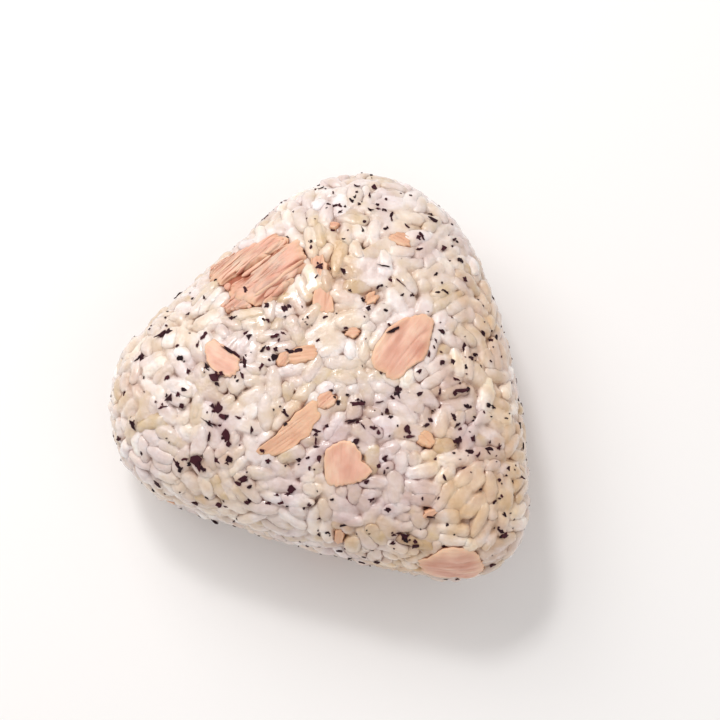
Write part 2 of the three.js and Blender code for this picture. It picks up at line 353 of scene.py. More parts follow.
def flatten(points, place, heading):
    """The flat x and y of points on the skin, the other way round."""
    point, along, across, outward = seat(place, heading)
    away = points - CENTRE
    away *= ((point - CENTRE) @ outward / (away @ outward))[:, None]
    return np.stack([(CENTRE + away - point) @ along, (CENTRE + away - point) @ across], 1)


def on_ball(column, row):
    """The place on the skin that shows at this column and row of the picture."""
    direction = ray_through(column, row)
    point = eye + direction * (DISTANCE - 50)  # nearly there, and the rest in ever shorter steps
    for _ in range(60):
        point = point + direction * 0.8 * skin(point[None])[0][0]
    return point


def dropped(corners, name):
    """Corners in the picture, as flat places in a flake's frame."""
    return flatten(np.array([on_ball(*corner) for corner in corners]), *FLAKES[name])


print("flakes:", ", ".join(FLAKES))

# %% [markdown]
# ## The flakes' outlines
#
# Tuna breaks along its fibres and tears across them, so a flake's outline is its character: a
# notch here, a long straight break there. The flakes that face the camera are drawn corner by
# corner in the picture, and each corner is dropped on the ball. The thick chunk is three slabs
# that overlap like shingles, with dark crevices between them. Flakes on the other sides get
# uneven outlines by a rule.

# %% Slabs that face the camera
# thickness, lift over the flake's level, pitch and depth of the folds, and the corners
DRAWN = {
    "tuna_chunk": [
        (3.2, -0.15, 1.4, 0.34, [
            (209, 268), (229, 255), (254, 243), (273, 233), (288, 236), (286, 242), (275, 250),
            (258, 259), (243, 268), (232, 275), (219, 283), (210, 280),
        ]),
        (3.6, 0.0, 1.5, 0.36, [
            (224, 286), (235, 282), (250, 272), (259, 263), (273, 251), (287, 241), (299, 238),
            (302, 249), (305, 257), (302, 268), (293, 275), (292, 282), (281, 292), (271, 299),
            (257, 303), (243, 302), (231, 297),
        ]),
        (2.8, -0.5, 1.8, 0.2, [
            (217, 304), (225, 299), (235, 295), (246, 298), (250, 304), (238, 308), (221, 308),
        ]),
    ],
    "tuna_flake_upper": [
        (2.0, -0.3, 4.0, 0.08, [
            (376, 345), (388, 327), (398, 321), (411, 315), (427, 315), (434, 319), (433, 330),
            (430, 342), (428, 353), (423, 360), (408, 369), (401, 377), (393, 382), (387, 374),
            (374, 366), (372, 355),
        ]),
    ],
    "tuna_flake_lower": [
        (1.8, -0.35, 2.4, 0.05, [
            (324, 451), (332, 445), (341, 441), (352, 441), (356, 447), (361, 453), (361, 461),
            (368, 465), (373, 471), (366, 479), (354, 484), (340, 486), (326, 485), (324, 468),
        ]),
    ],
    "tuna_strip": [
        (2.2, -0.7, 1.3, 0.07, [
            (248, 453), (258, 448), (268, 441), (277, 434), (282, 426), (290, 421), (295, 412),
            (305, 407), (311, 399), (319, 403), (318, 411), (322, 417), (314, 426), (309, 437),
            (300, 440), (294, 449), (284, 452), (276, 456), (262, 455),
        ]),
    ],
    "tuna_patch_inner": [
        (2.0, -0.95, 2.6, 0.08, [
            (316, 282), (325, 280), (331, 286), (333, 300), (334, 310), (324, 313), (313, 308),
            (312, 294),
        ]),
        (1.6, -1.0, 2.6, 0.08, [
            (310, 256), (322, 253), (327, 262), (326, 276), (317, 282), (311, 272),
        ]),
    ],
    "tuna_patch_left": [
        (1.9, -0.55, 3.0, 0.05, [
            (203, 344), (213, 338), (225, 345), (237, 356), (240, 368), (230, 377), (216, 374),
            (206, 360),
        ]),
    ],
    "tuna_foot": [
        (2.9, -0.3, 2.4, 0.06, [
            (418, 561), (431, 557), (440, 550), (453, 548), (464, 549), (476, 554), (482, 562),
            (483, 572), (472, 578), (455, 577), (438, 577), (424, 573),
        ]),
    ],
}


def uneven(length, width, corners, random):
    """Corners of a broken flake of this size round the origin."""
    angle = 2 * math.pi * (np.arange(corners) + random.uniform(-0.25, 0.25, corners)) / corners
    reach = 1 - 0.24 * random.random(corners)
    return np.stack([np.cos(angle) * reach * length / 2, np.sin(angle) * reach * width / 2], 1)


# the flakes on the other sides: length, width and thickness
UNSEEN = {
    "tuna_left_side": (11.5, 6.0, 2.6),
    "tuna_right_side": (10.5, 8.0, 2.2),
    "tuna_back_foot": (12.5, 5.6, 2.6),
    "tuna_back_apex": (10.0, 7.6, 2.2),
}


def slabs_of(name):
    """Each slab of a flake: flat corners, thickness, lift, fold pitch and fold depth."""
    if name in DRAWN:
        for *form, corners in DRAWN[name]:
            yield dropped(corners, name), *form
        return
    length, width, thickness = UNSEEN[name]
    random = np.random.default_rng(round(length * 10))
    strands, lap = (3, 1.5) if width < 7 else (1, 1)
    for i in range(strands):
        corners = uneven(length * random.uniform(0.8, 1), width / strands * lap, 8, random)
        corners[:, 1] += (i - (strands - 1) / 2) * width / strands
        yield corners, thickness * random.uniform(0.8, 0.95), -random.uniform(0, 0.3), 2.0, 0.2


SLABS = {name: list(slabs_of(name)) for name in FLAKES}
# what shows in the crevices of the chunk, under its slabs, painted all in the dark colour of shade
BED = [
    (214, 276), (232, 263), (270, 241), (290, 240), (298, 250), (298, 264), (280, 288), (246, 300),
    (226, 297), (222, 286),
]
bed = dropped(BED, "tuna_chunk")
print("slabs:", {name: len(slabs) for name, slabs in SLABS.items()})

# %% Crumbs
# Small crumbs lie among the grains on every side. Those in the picture: column, row, length,
# width and heading.
CRUMBS = [
    (302, 354, 8.4, 4.4, 8), (283, 358, 4.0, 2.8, 60), (401, 238, 5.2, 4.0, -25),
    (352, 332, 3.6, 2.6, 5), (427, 439, 5.0, 3.8, -40), (372, 297, 4.2, 2.8, 35),
    (338, 541, 6.2, 2.2, 75), (430, 515, 4.2, 2.0, 20), (256, 200, 4.6, 2.6, 70),
    (333, 223, 2.6, 2.0, 0), (326, 400, 6.0, 3.8, 42),
]
MORE_CRUMBS = 15  # where the camera doesn't look
CRUMB_THICKNESS = 2.1


def crumb_list():
    """Direction from the ball's centre, heading, length and width of each crumb."""
    random = np.random.default_rng(17)
    for column, row, length, width, heading in CRUMBS:
        yield on_ball(column, row) - CENTRE, heading + math.degrees(AZIMUTH), length, width
    for _ in range(MORE_CRUMBS):
        direction = anywhere(random)
        while direction[2] > -2 or surface_point(direction)[0, 2] < 3:
            direction = anywhere(random)
        yield direction, random.uniform(0, 180), random.uniform(3, 5.5), random.uniform(2, 3.4)


crumbs = [
    (place, heading, uneven(long, wide, 9, np.random.default_rng(i)))
    for i, (place, heading, long, wide) in enumerate(crumb_list())
]
print("crumbs:", len(crumbs))

# %% [markdown]
# ## Settling the grains
#
# Cooked short-grain rice is about 7 mm long and 3 mm wide. Scattered at random, such grains would
# stick through each other, and laid out in rows they would look like tiles. Real ones end up where
# they are because hands pushed them together, so a small simulation does the same. Every grain is
# a capsule: a middle line with a radius. In each of some hundred steps, capsules that overlap push
# each other apart and turn, the skin pushes them in, and the shell's floor pushes them out. A little
# overlap stays, because cooked grains are soft and flatten where they touch.
#
# Blender's rigid bodies could do this too, but this way needs only numpy, takes a few seconds, and
# gives the same heap on every run.

# %% Grain sizes and where they start
GRAIN_LENGTH, GRAIN_WIDTH, GRAIN_HEIGHT = 6.8, 3.4, 2.9
SHELL = 5.0  # depth of loose grains over the core
SKIN_DEPTH = 0.45  # how far under the flakes' level the grains end
GRAIN_COUNT = 1850
SOFTNESS = 0.74  # grains may come this much closer than touching
rng = np.random.default_rng(11)


def scatter(count):
    """Points spread evenly through the shell."""
    low, high = OUTLINE.min(0), OUTLINE.max(0)
    found = np.empty((0, 3))
    while len(found) < count:
        drawn = rng.uniform((low[0], low[1], 0), (high[0], high[1], THICKNESS), (4000, 3))
        outside, _ = skin(drawn)
        inside = (outside < -GRAIN_WIDTH / 2) & (outside > GRAIN_WIDTH / 2 - SHELL)
        found = np.concatenate([found, drawn[inside]])
    return found[:count]


length = GRAIN_LENGTH * rng.uniform(0.75, 1.15, GRAIN_COUNT)
broken = rng.random(GRAIN_COUNT) < 0.2
length[broken] *= rng.uniform(0.5, 0.75, broken.sum())
width = GRAIN_WIDTH * rng.uniform(0.78, 1.12, GRAIN_COUNT)
centre = scatter(GRAIN_COUNT)
axis = rng.normal(size=(GRAIN_COUNT, 3))
outward = skin(centre)[1]
axis = unit(axis - 0.85 * (axis * outward).sum(1)[:, None] * outward)
print("grains:", GRAIN_COUNT, "of which broken", int(broken.sum()))

# %% What the grains make room for
# A slab is filled with fixed balls, a little smaller than itself, so that grains come close and
# may just lap over its edge. LAPPED says over which flakes they lie further, by how many mm.
BALL = 1.1
LAPPED = {"tuna_patch_left": 0.8, "tuna_patch_inner": 0.7, "tuna_strip": 0.5}


def edge_at(corners, angles):
    """How far the outline is from its middle at each angle."""
    start = corners - corners.mean(0)
    side = np.roll(start, -1, axis=0) - start
    ray = compass(angles)
    cross = ray[:, None, 0] * side[None, :, 1] - ray[:, None, 1] * side[None, :, 0]
    cross = np.where(np.abs(cross) < 1e-9, 1e-9, cross)
    reach = (start[:, 0] * side[:, 1] - start[:, 1] * side[:, 0])[None] / cross
    share = (start[None, :, 0] * ray[:, None, 1] - start[None, :, 1] * ray[:, None, 0]) / cross
    hit = (reach > 0) & (share > -1e-6) & (share < 1 + 1e-6)
    return np.where(hit, reach, 0).max(1)


def room_for(place, heading, corners, thickness, lift, lapped=0.0):
    """The balls that fill a slab, and a layer of them over its middle."""
    angles = full_turn(18)
    edge = np.maximum(edge_at(corners, angles) - BALL * 1.45 - lapped, 0.1)
    layers = []
    for share in (0.0, 0.5, 1.0):
        flat = compass(angles) * (edge * share)[:, None] + corners.mean(0)
        heights = [FLAKE_RISE + lift - thickness / 2] + [FLAKE_RISE + lift + 0.8] * (share < 1)
        layers += [np.column_stack([flat, np.full(len(flat), height)]) for height in heights]
    return drape(np.concatenate(layers), place, heading)


balls = [
    room_for(*FLAKES[name], *slab[:3], LAPPED.get(name, 0.0))
    for name, slabs in SLABS.items()
    for slab in slabs
]
balls += [room_for(*seat_and_form, CRUMB_THICKNESS, -0.6, 0.3) for seat_and_form in crumbs]
balls += [room_for(*FLAKES["tuna_chunk"], bed, 2.0, -0.8)]
balls = np.concatenate(balls)
print("balls that keep the flakes' room:", len(balls))


# %% The simulation
NEAR = 8.6  # mm between the middles of two grains that may touch
SEARCH_EVERY = 6  # steps between two searches for such pairs
APART = 0.7  # share of an overlap that one step undoes
HELD = 0.5  # share of the way back that one step pushes an end that left the shell
LIE_DOWN = 0.06  # how fast grains near the skin turn flat against it
LONGEST_MOVE = 0.6  # mm in one step


def close_pairs(points, count, reach):
    """Pairs nearer than reach of one of the first count points and a later one."""
    square = (points**2).sum(1)
    apart = square[:count, None] + square[None] - 2 * points[:count] @ points.T
    first, second = np.nonzero(apart < reach**2)
    return first[first < second], second[first < second]


def settle(centre, axis, half, radius, free, steps):
    """Moves and turns the free capsules until they hardly overlap."""
    arm = (half + radius) ** 2 / 3  # how hard a grain is to turn
    for step in range(steps):
        if step % SEARCH_EVERY == 0:
            a, b = close_pairs(centre, free.sum(), NEAR)
        # nearest points of the two middle lines
        between = centre[a] - centre[b]
        cosine = (axis[a] * axis[b]).sum(1)
        from_a, from_b = (axis[a] * between).sum(1), (axis[b] * between).sum(1)
        s = (cosine * from_b - from_a) / np.maximum(1 - cosine**2, 0.05)
        s = np.clip(s, -half[a], half[a])
        t = np.clip(cosine * s + from_b, -half[b], half[b])
        s = np.clip(cosine * t - from_a, -half[a], half[a])
        gap = between + s[:, None] * axis[a] - t[:, None] * axis[b]
        distance = np.linalg.norm(gap, axis=1)
        overlap = np.maximum((radius[a] + radius[b]) * SOFTNESS - distance, 0)
        push = gap / np.maximum(distance, 1e-6)[:, None]
        move, turn = np.zeros_like(centre), np.zeros_like(axis)
        for grain, other, lever, sign in ((a, b, s, 1), (b, a, t, -1)):
            share = np.where(free[other], 0.5, 1.0) * overlap / (1 + lever**2 / arm[grain])
            amount = sign * APART * share[:, None] * push
            np.add.at(move, grain, amount)
            np.add.at(turn, grain, amount * (lever / arm[grain])[:, None])
        # the skin and the core hold both ends
        for sign in (-1, 1):
            end = centre + sign * half[:, None] * axis
            outside, outward = skin(end)
            shift = -np.maximum(outside + radius * 0.92 + SKIN_DEPTH, 0)
            shift += np.maximum(radius - SHELL - outside, 0)
            amount = HELD * shift[:, None] * outward
            move += amount
            turn += sign * amount * (half / arm)[:, None]
        # grains that touch the skin lie down against it
        outside, outward = skin(centre)
        near = np.clip((outside + 4.2) / 1.5, 0, 1)
        turn -= LIE_DOWN * (near * (axis * outward).sum(1))[:, None] * outward
        centre = centre + np.clip(move, -LONGEST_MOVE, LONGEST_MOVE) * free[:, None]
        axis = unit(axis + turn * free[:, None])
    return centre, axis, overlap


def settle_all(centre, axis, length, width, steps):
    """Settles the grains among the fixed balls."""
    everything = np.concatenate([centre, balls])
    directions = np.concatenate([axis, np.tile((0.0, 0.0, 1.0), (len(balls), 1))])
    half = np.concatenate([(length - width) / 2, np.zeros(len(balls))])
    radius = np.concatenate([width / 2, np.full(len(balls), BALL)])
    free = np.arange(len(everything)) < len(centre)
    everything, directions, overlap = settle(everything, directions, half, radius, free, steps)
    print("settled", len(centre), "grains: overlap left, mm, mean", overlap.mean().round(3))
    return everything[: len(centre)], directions[: len(centre)]


centre, axis = settle_all(centre, axis, length, width, 100)

# %% Filling the gaps
# Here and there the grains leave a gap wide enough for one more. It gets one, and all settle again.
# A gap is a spot this far under the skin, and this far from the nearest grain.
GAP_DEPTH, GAP_WIDTH = 1.5, 0.3
GAPS_APART = 3.2  # so that two new grains don't share one gap
PROBES = 3600
TURN_OF_SPIRAL = math.pi * (3 - math.sqrt(5))


def spiral(count):
    """Directions spread evenly over a ball."""
    z = 1 - 2 * (np.arange(count) + 0.5) / count
    angle = TURN_OF_SPIRAL * np.arange(count)
    return np.stack([np.sqrt(1 - z * z) * np.cos(angle), np.sqrt(1 - z * z) * np.sin(angle), z], 1)


def gaps(spots, centre, axis, half, radius):
    """How far each spot is from the nearest grain."""
    nearest = []
    spots, centre, axis, half, radius = (np.float32(v) for v in (spots, centre, axis, half, radius))
    for some in np.array_split(spots, 40):
        away = some[:, None] - centre[None]
        along = np.clip((away * axis).sum(2), -half, half)
        distance = np.linalg.norm(away - along[:, :, None] * axis, axis=2) - radius
        to_balls = np.linalg.norm(some[:, None] - balls[None], axis=2) - BALL
        nearest.append(np.minimum(distance.min(1), to_balls.min(1)))
    return np.concatenate(nearest)


for _ in range(2):
    spots = surface_point(spiral(PROBES) * HALF_SIZES)
    spots = spots - skin(spots)[1] * GAP_DEPTH
    free_space = gaps(spots, centre, axis, (length - width) / 2, width / 2 * SOFTNESS)
    chosen = []
    for k in np.argsort(-free_space):
        if free_space[k] < GAP_WIDTH:
            break
        clear = all(np.linalg.norm(spots[k] - spots[other]) > GAPS_APART for other in chosen)
        if spots[k, 2] > 1.5 and clear:
            chosen.append(k)
    more = len(chosen)
    outward = skin(spots[chosen])[1]
    extra = rng.normal(size=(more, 3))
    centre = np.concatenate([centre, spots[chosen] - outward * 0.6])
    axis = np.concatenate([axis, unit(extra - 0.9 * (extra * outward).sum(1)[:, None] * outward)])
    length = np.concatenate([length, rng.uniform(4.2, 6.4, more)])
    width = np.concatenate([width, rng.uniform(2.6, 3.3, more)])
    centre, axis = settle_all(centre, axis, length, width, 30)
    print("filled gaps:", more, "the widest was", free_space.max().round(2), "mm")

# %% [markdown]
# ## From middle lines to grains
#
# Geometry Nodes makes the grains, because they are one shape repeated with small changes. The tree
# puts a unit ball on each point, makes the copies real, and then shapes every one in its own
# frame: stretched to its length, plumper than an ellipsoid towards the ends, bent like a bean and
# thicker at one end. Shaping after the copies are real lets each grain have its own bend and
# taper, where a few ready-made shapes would show as repeats.

# %% Points that carry each grain's size and turn
_, outward = skin(centre)
across = unit(np.cross(outward, axis))
upper = np.cross(axis, across)
roll = rng.normal(0, 0.5, len(centre))[:, None]
side = across * np.cos(roll) + upper * np.sin(roll)
top = upper * np.cos(roll) - across * np.sin(roll)
size = np.stack([length, width, width * GRAIN_HEIGHT / GRAIN_WIDTH], 1)
# how milky a grain is: from a clear yellowish one at 0 to an opaque white one at 1
tint = np.clip(rng.normal(0.6, 0.15, len(centre)), 0, 1)


def eulers(x_axes, y_axes, z_axes):
    return [Matrix(axes).transposed().to_euler() for axes in zip(x_axes, y_axes, z_axes)]


def carriers(name, places, turns, sizes, tints):
    """Loose points, each with the turn, size and tint of the thing that will sit on it."""
    piece = mesh_object(name, places, [])
    keep_on_points(piece, turn=turns, size=np.asarray(sizes) * MM, tint=tints)
    return piece


turns = eulers(axis, side, top)
seeds = carriers("rice_grains", centre, turns, size, tint)
print("grain points:", len(seeds.data.vertices))


# %% What both trees of this lesson share
def node_group(name, *sockets):
    """A tree that takes and gives a geometry, with more named inputs, and those inputs."""
    tree = bpy.data.node_groups.new(name, "GeometryNodeTree")
    for way in ("OUTPUT", "INPUT"):
        tree.interface.new_socket("Geometry", in_out=way, socket_type="NodeSocketGeometry")
    for label, kind, value in sockets:
        kind = "NodeSocket" + kind
        socket = tree.interface.new_socket(label, in_out="INPUT", socket_type=kind)
        if value is not None:
            socket.default_value = value
    return tree, add(tree, "NodeGroupInput").outputs


def read(tree, name, kind="FLOAT"):
    return add(tree, "GeometryNodeInputNamedAttribute", {"Name": name}, data_type=kind)


def store(tree, geometry, name, value, **settings):
    links = {"Geometry": geometry, "Name": name, "Value": value}
    return add(tree, "GeometryNodeStoreNamedAttribute", links, **settings)


def copies_on(tree, points, shape):
    """A copy of a shape on each point. Each of its own points keeps its place in the shape."""
    place = add(tree, "GeometryNodeInputPosition")
    shape = store(tree, shape.outputs["Mesh"], "unit", place, data_type="FLOAT_VECTOR")
    return add(tree, "GeometryNodeInstanceOnPoints", {"Points": points, "Instance": shape})


def vector_parts(tree, vector, scale=1.0):
    scaled = add(tree, "ShaderNodeVectorMath", {0: vector, "Scale": scale}, operation="SCALE")
    return add(tree, "ShaderNodeSeparateXYZ", {0: scaled}).outputs


def shaped_copies(tree, real, x, y, z, material, spent):
    """Gives each copy its form and its point's turn, and drops what was spent on that."""
    form = add(tree, "ShaderNodeCombineXYZ", {"X": x, "Y": y, "Z": z})
    turn = add(tree, "FunctionNodeEulerToRotation", {"Euler": read(tree, "turn", "FLOAT_VECTOR")})
    turned = add(tree, "FunctionNodeRotateVector", {"Vector": form, "Rotation": turn})
    place = add(tree, "GeometryNodeInputPosition")
    links = {0: place, 1: read(tree, "unit", "FLOAT_VECTOR")}
    middle = add(tree, "ShaderNodeVectorMath", links, operation="SUBTRACT")
    final = add(tree, "ShaderNodeVectorMath", {0: middle, 1: turned}, operation="ADD")
    result = add(tree, "GeometryNodeSetPosition", {"Geometry": real, "Position": final})
    for name in ("unit", "turn", "size", *spent):
        result = add(tree, "GeometryNodeRemoveAttribute", {"Geometry": result, "Name": name})
    return add(tree, "GeometryNodeSetMaterial", {"Geometry": result, "Material": material})


# %% The grain tree
def grain_tree():
    tree, given = node_group(
        "Cooked grains",
        ("Segments", "Int", 14),
        ("Rings", "Int", 11),
        ("Plumpness", "Float", 3.0),
        ("Bend", "Float", 0.6 * MM),
        ("Taper", "Float", 0.3),
        ("Slant", "Float", 0.6),
        ("Seed", "Int", 5),
        ("Rice", "Material", None),
    )
    links = {"Segments": given["Segments"], "Rings": given["Rings"], "Radius": 1.0}
    ball = add(tree, "GeometryNodeMeshUVSphere", links)
    copies = copies_on(tree, given["Geometry"], ball).outputs["Instances"]
    own = ("bend", "taper", "slant")
    for shift, name in enumerate(own):
        seed = calc(tree, "ADD", given["Seed"], float(shift * 100))
        drawn = add(tree, "FunctionNodeRandomValue", {"Seed": seed}, data_type="FLOAT").outputs[1]
        # from minus the given amount to plus it
        signed = calc(tree, "MULTIPLY_ADD", drawn, 2.0, -1.0)
        value = times(tree, signed, given[name.title()])
        copies = store(tree, copies, name, value, data_type="FLOAT", domain="INSTANCE")
    real = add(tree, "GeometryNodeRealizeInstances", {"Geometry": copies})

    place = vector_parts(tree, read(tree, "unit", "FLOAT_VECTOR"))
    half = vector_parts(tree, read(tree, "size", "FLOAT_VECTOR"), 0.5)
    t = place["Z"]  # from -1 to 1 along the grain
    square = times(tree, t, t)
    plump = calc(tree, "POWER", calc(tree, "ABSOLUTE", t), given["Plumpness"])
    plump = calc(tree, "SQRT", calc(tree, "SUBTRACT", 1.0, plump))
    plump = calc(tree, "DIVIDE", plump, calc(tree, "SQRT", calc(tree, "SUBTRACT", 1.0, square)))
    girth = times(tree, plump, calc(tree, "SUBTRACT", 1.0, times(tree, read(tree, "taper"), t)))
    wide = times(tree, place["X"], half["Y"], girth)
    tall = times(tree, place["Y"], half["Z"], girth)
    bow = times(tree, calc(tree, "SUBTRACT", square, 0.35), read(tree, "bend"))
    slanted = times(tree, wide, read(tree, "slant"))
    long = calc(tree, "ADD", times(tree, t, half["X"]), slanted)
    y = calc(tree, "ADD", wide, bow)
    result = shaped_copies(tree, real, long, y, tall, given["Rice"], own)
    result = add(tree, "GeometryNodeSetShadeSmooth", {"Geometry": result})
    add(tree, "NodeGroupOutput", {"Geometry": result})
    return tree


# %% Running a tree
def evaluated(piece):
    """Replaces a piece's mesh with what its modifiers make of it."""
    graph = bpy.context.evaluated_depsgraph_get()
    made = bpy.data.meshes.new_from_object(piece.evaluated_get(graph), depsgraph=graph)
    piece.modifiers.clear()
    piece.data = made
    return piece


def grow(piece, tree, **values):
    """Runs a node tree on a piece and keeps the result as a plain mesh."""
    modifier = piece.modifiers.new(tree.name, "NODES")
    modifier.node_group = tree
    for item in tree.interface.items_tree:
        if item.in_out == "INPUT" and item.name in values:
            modifier[item.identifier] = values[item.name]
    return evaluated(piece)


rice = bpy.data.materials.new("Cooked short-grain rice")
cooked_grains = grain_tree()
grains = grow(seeds, cooked_grains, Rice=rice)
print("grain mesh:", len(grains.data.vertices), "points,", len(grains.data.polygons), "faces")

# %% [markdown]
# ## Pressed by hand
#
# Hands and then the plate have flattened what stood out. Every point that would pass the skin is
# pulled back to it, gently at first and fully at the end, so a grain's top turns into a soft flat
# spot and never into a hard cut.


# %% Pressing points to the skin
SIDE_PLAY = 0.8  # hands press the faces flatter than the sides


def coordinates(mesh):
    points = np.empty(len(mesh.vertices) * 3, np.float32)
    mesh.vertices.foreach_get("co", points)
    return points.reshape(-1, 3).astype(float) / MM


def move_points(piece, points):
    piece.data.vertices.foreach_set("co", (points * MM).ravel())
    piece.data.update()
    return points


def press(piece, depth, give):
    """Pulls a piece's points to this depth under the skin, starting where it begins to give."""
    points = coordinates(piece.data)
    for _ in range(2):
        outside, outward = skin(points)
        beyond = np.maximum(outside + depth + give - SIDE_PLAY * (1 - outward[:, 2] ** 2), 0)
        kept = give * (1 - np.exp(-beyond / give))
        points = points + (kept - beyond)[:, None] * outward
    return move_points(piece, points)


pressed = press(grains, SKIN_DEPTH - 0.05, 0.3)
print("grains reach from", pressed.min(0).round(2), "to", pressed.max(0).round(2), "mm")

# %% [markdown]
# ## The fused mass
#
# Cooked rice is sticky. Where two grains touch they run into each other, and a film of starch
# fills the groove, so only some of the grains keep a clear edge. A voxel remesh does just that to
# a heap of closed shapes: it keeps the outer skin of all of them together, and a few rounds of
# smoothing then round the grooves. A smooth core under the grains keeps the gaps shallow.

# %% Core under the grains
CORE_DEPTH = 2.2
CORE_BUMPS, BUMP_SIZE = 0.8, 2.4

shape = bmesh.new()
bmesh.ops.create_icosphere(shape, subdivisions=6, radius=1)
directions = np.array([v.co[:] for v in shape.verts])
faces = [[v.index for v in f.verts] for f in shape.faces]
shape.free()
on_skin = surface_point(directions * HALF_SIZES)
_, outward = skin(on_skin)
bumps = wander(on_skin, BUMP_SIZE)
core_points = on_skin - outward * (CORE_DEPTH - CORE_BUMPS * bumps[:, None])
core_points[:, 2] = np.maximum(core_points[:, 2], 0.6)
core = mesh_object("rice_core", core_points, faces, rice)
print("core:", len(faces), "faces")

# %% Fusing the grains with it
VOXEL = 0.28
MASS_TRIANGLES = 190000

mass = put_in_scene("rice_mass", grains.data.copy())
shape = bmesh.new()
shape.from_mesh(mass.data)
shape.from_mesh(core.data)
shape.to_mesh(mass.data)
shape.free()
remesh = mass.modifiers.new("fuse", "REMESH")
remesh.mode, remesh.voxel_size = "VOXEL", VOXEL * MM
soften = mass.modifiers.new("soften", "SMOOTH")
soften.factor, soften.iterations = 0.5, 2
mass.modifiers.new("triangles", "TRIANGULATE")
evaluated(mass)
print("fused:", len(mass.data.polygons), "triangles")
thin = mass.modifiers.new("thin", "DECIMATE")
thin.ratio = min(1, MASS_TRIANGLES / len(mass.data.polygons))
evaluated(mass)
mass.data.polygons.foreach_set("use_smooth", [True] * len(mass.data.polygons))
mass.data.materials.clear()
mass.data.materials.append(rice)
press(mass, SKIN_DEPTH, 0.2)
print("thinned:", len(mass.data.polygons), "triangles")

# %% Loose grains
# Most grains of the outer layer keep their whole clear shape. They stand a little out of the
# mass or in it, and the mass fills the seams between them.
LOOSE_SHARE = 0.7
STAND = (-0.05, 0.35)  # how far loose grains stand out of the mass, in mm
SIDE_STAND = (-0.25, 0.45)  # and how much further on the sides

outside, outward = skin(centre)
outer = np.flatnonzero(outside > -(SKIN_DEPTH + width / 2 + 0.9))
loose = np.sort(rng.choice(outer, round(LOOSE_SHARE * len(outer)), replace=False))
on_side = 1 - outward[loose, 2:] ** 2
stand = rng.uniform(*STAND, (len(loose), 1)) + on_side * rng.uniform(*SIDE_STAND, (len(loose), 1))
loose_grains = carriers(
    "rice_loose_grains",
    centre[loose] + outward[loose] * stand,
    [turns[i] for i in loose],
    size[loose],
    tint[loose],
)
grow(loose_grains, cooked_grains, Rice=rice, Segments=12, Rings=9)
press(loose_grains, SKIN_DEPTH - 0.2, 0.25)


def roughen(piece, seed, swell, *waves):
    """Moves each point along its normal, all by swell and each by noise of some mm and size."""
    points = coordinates(piece.data)
    normals = np.empty(points.size)
    piece.data.vertices.foreach_get("normal", normals)
    noise = (depth * wander(points, size, seed + i) for i, (depth, size) in enumerate(waves))
    move_points(piece, points + (swell + sum(noise))[:, None] * normals.reshape(-1, 3))


roughen(loose_grains, 77, 0, (0.3, 2.4), (0.15, 1.2))
roughen(mass, 81, 0.13, (0.24, 1.9), (0.12, 0.9))
loose_points = press(loose_grains, SKIN_DEPTH - 0.15, 0.25)
mass_points = press(mass, SKIN_DEPTH, 0.2)
print("outer grains:", len(outer), "loose:", len(loose), "faces:", len(loose_grains.data.polygons))

# %% Each point's grain
grain_tree_of_faces = BVHTree.FromPolygons(
    [Vector(p) for p in pressed], [tuple(face.vertices) for face in grains.data.polygons]
)
tints = np.empty(len(grains.data.vertices), np.float32)
grains.data.attributes["tint"].data.foreach_get("value", tints)
mass_tint = np.empty(len(mass_points), np.float32)
for i, point in enumerate(mass_points):
    found = grain_tree_of_faces.find_nearest(Vector(point))
    mass_tint[i] = tints[grains.data.polygons[found[2]].vertices[0]]
keep_on_points(mass, tint=mass_tint)
# painted shade: how deep each point lies under the skin, in the grooves between grains, kept for the
# finish to paint darker and warmer
for piece, points in ((mass, mass_points), (loose_grains, loose_points)):
    groove = np.clip((-skin(points)[0] - SKIN_DEPTH - 0.1) / 1.4, 0, 1)
    keep_on_points(piece, groove=groove)
bpy.data.objects.remove(core)
bpy.data.objects.remove(grains)
print("mass: grain tints from", mass_tint.min().round(2), "to", mass_tint.max().round(2))

# %% [markdown]
# ## Flaked tuna
#
# Cooked tuna falls apart into flakes of muscle fibre. A thick flake is a bundle of strands with
# dark crevices between them, and a thin one is a sheet with an edge that broke unevenly. Both are
# made as points in a flat frame, x along the fibres, and then draped over the ball. Fine grooves
# along x are real relief here, because they catch the light on every flake.


# %% Faces of a closed shape
def closed_faces(rings, around):
    """Faces of rings of points with one more point at each end."""
    following = lambda j: (j + 1) % around
    faces = [(0, 1 + j, 1 + following(j)) for j in range(around)]
    for start in range(1, 1 + (rings - 1) * around, around):
        ahead = start + around
        faces += [
            (ahead + j, ahead + following(j), start + following(j), start + j)
            for j in range(around)
        ]
    last = 1 + (rings - 1) * around
    end = last + around
    return faces + [(end, last + following(j), last + j) for j in range(around)]


# %% One slab of flesh
# A thick slab has a frayed edge. A sheet, with less fray than this, has a crisp one, and its wall
# runs in under it.
SHEET = 0.8
GROOVE = 0.13  # a groove lies where the noise is this near to zero
BASE = 0.3  # how much lower the middle of the base is than its edge


def torn_edge(corners, angles, fray, seed):
    """How far a slab reaches at each angle, with ends that fray more than its sides."""
    edge = edge_at(corners, angles)
    edge = 0.5 * edge + 0.25 * (np.roll(edge, 1) + np.roll(edge, -1))
    at = compass(angles) * edge[:, None]
    torn = fray * (0.2 + 0.35 * np.cos(angles) ** 2)
    return edge + torn * (wander(at, (2.0, 0.7), seed) + 0.5 * wander(at, (1.0, 0.35), seed + 1))


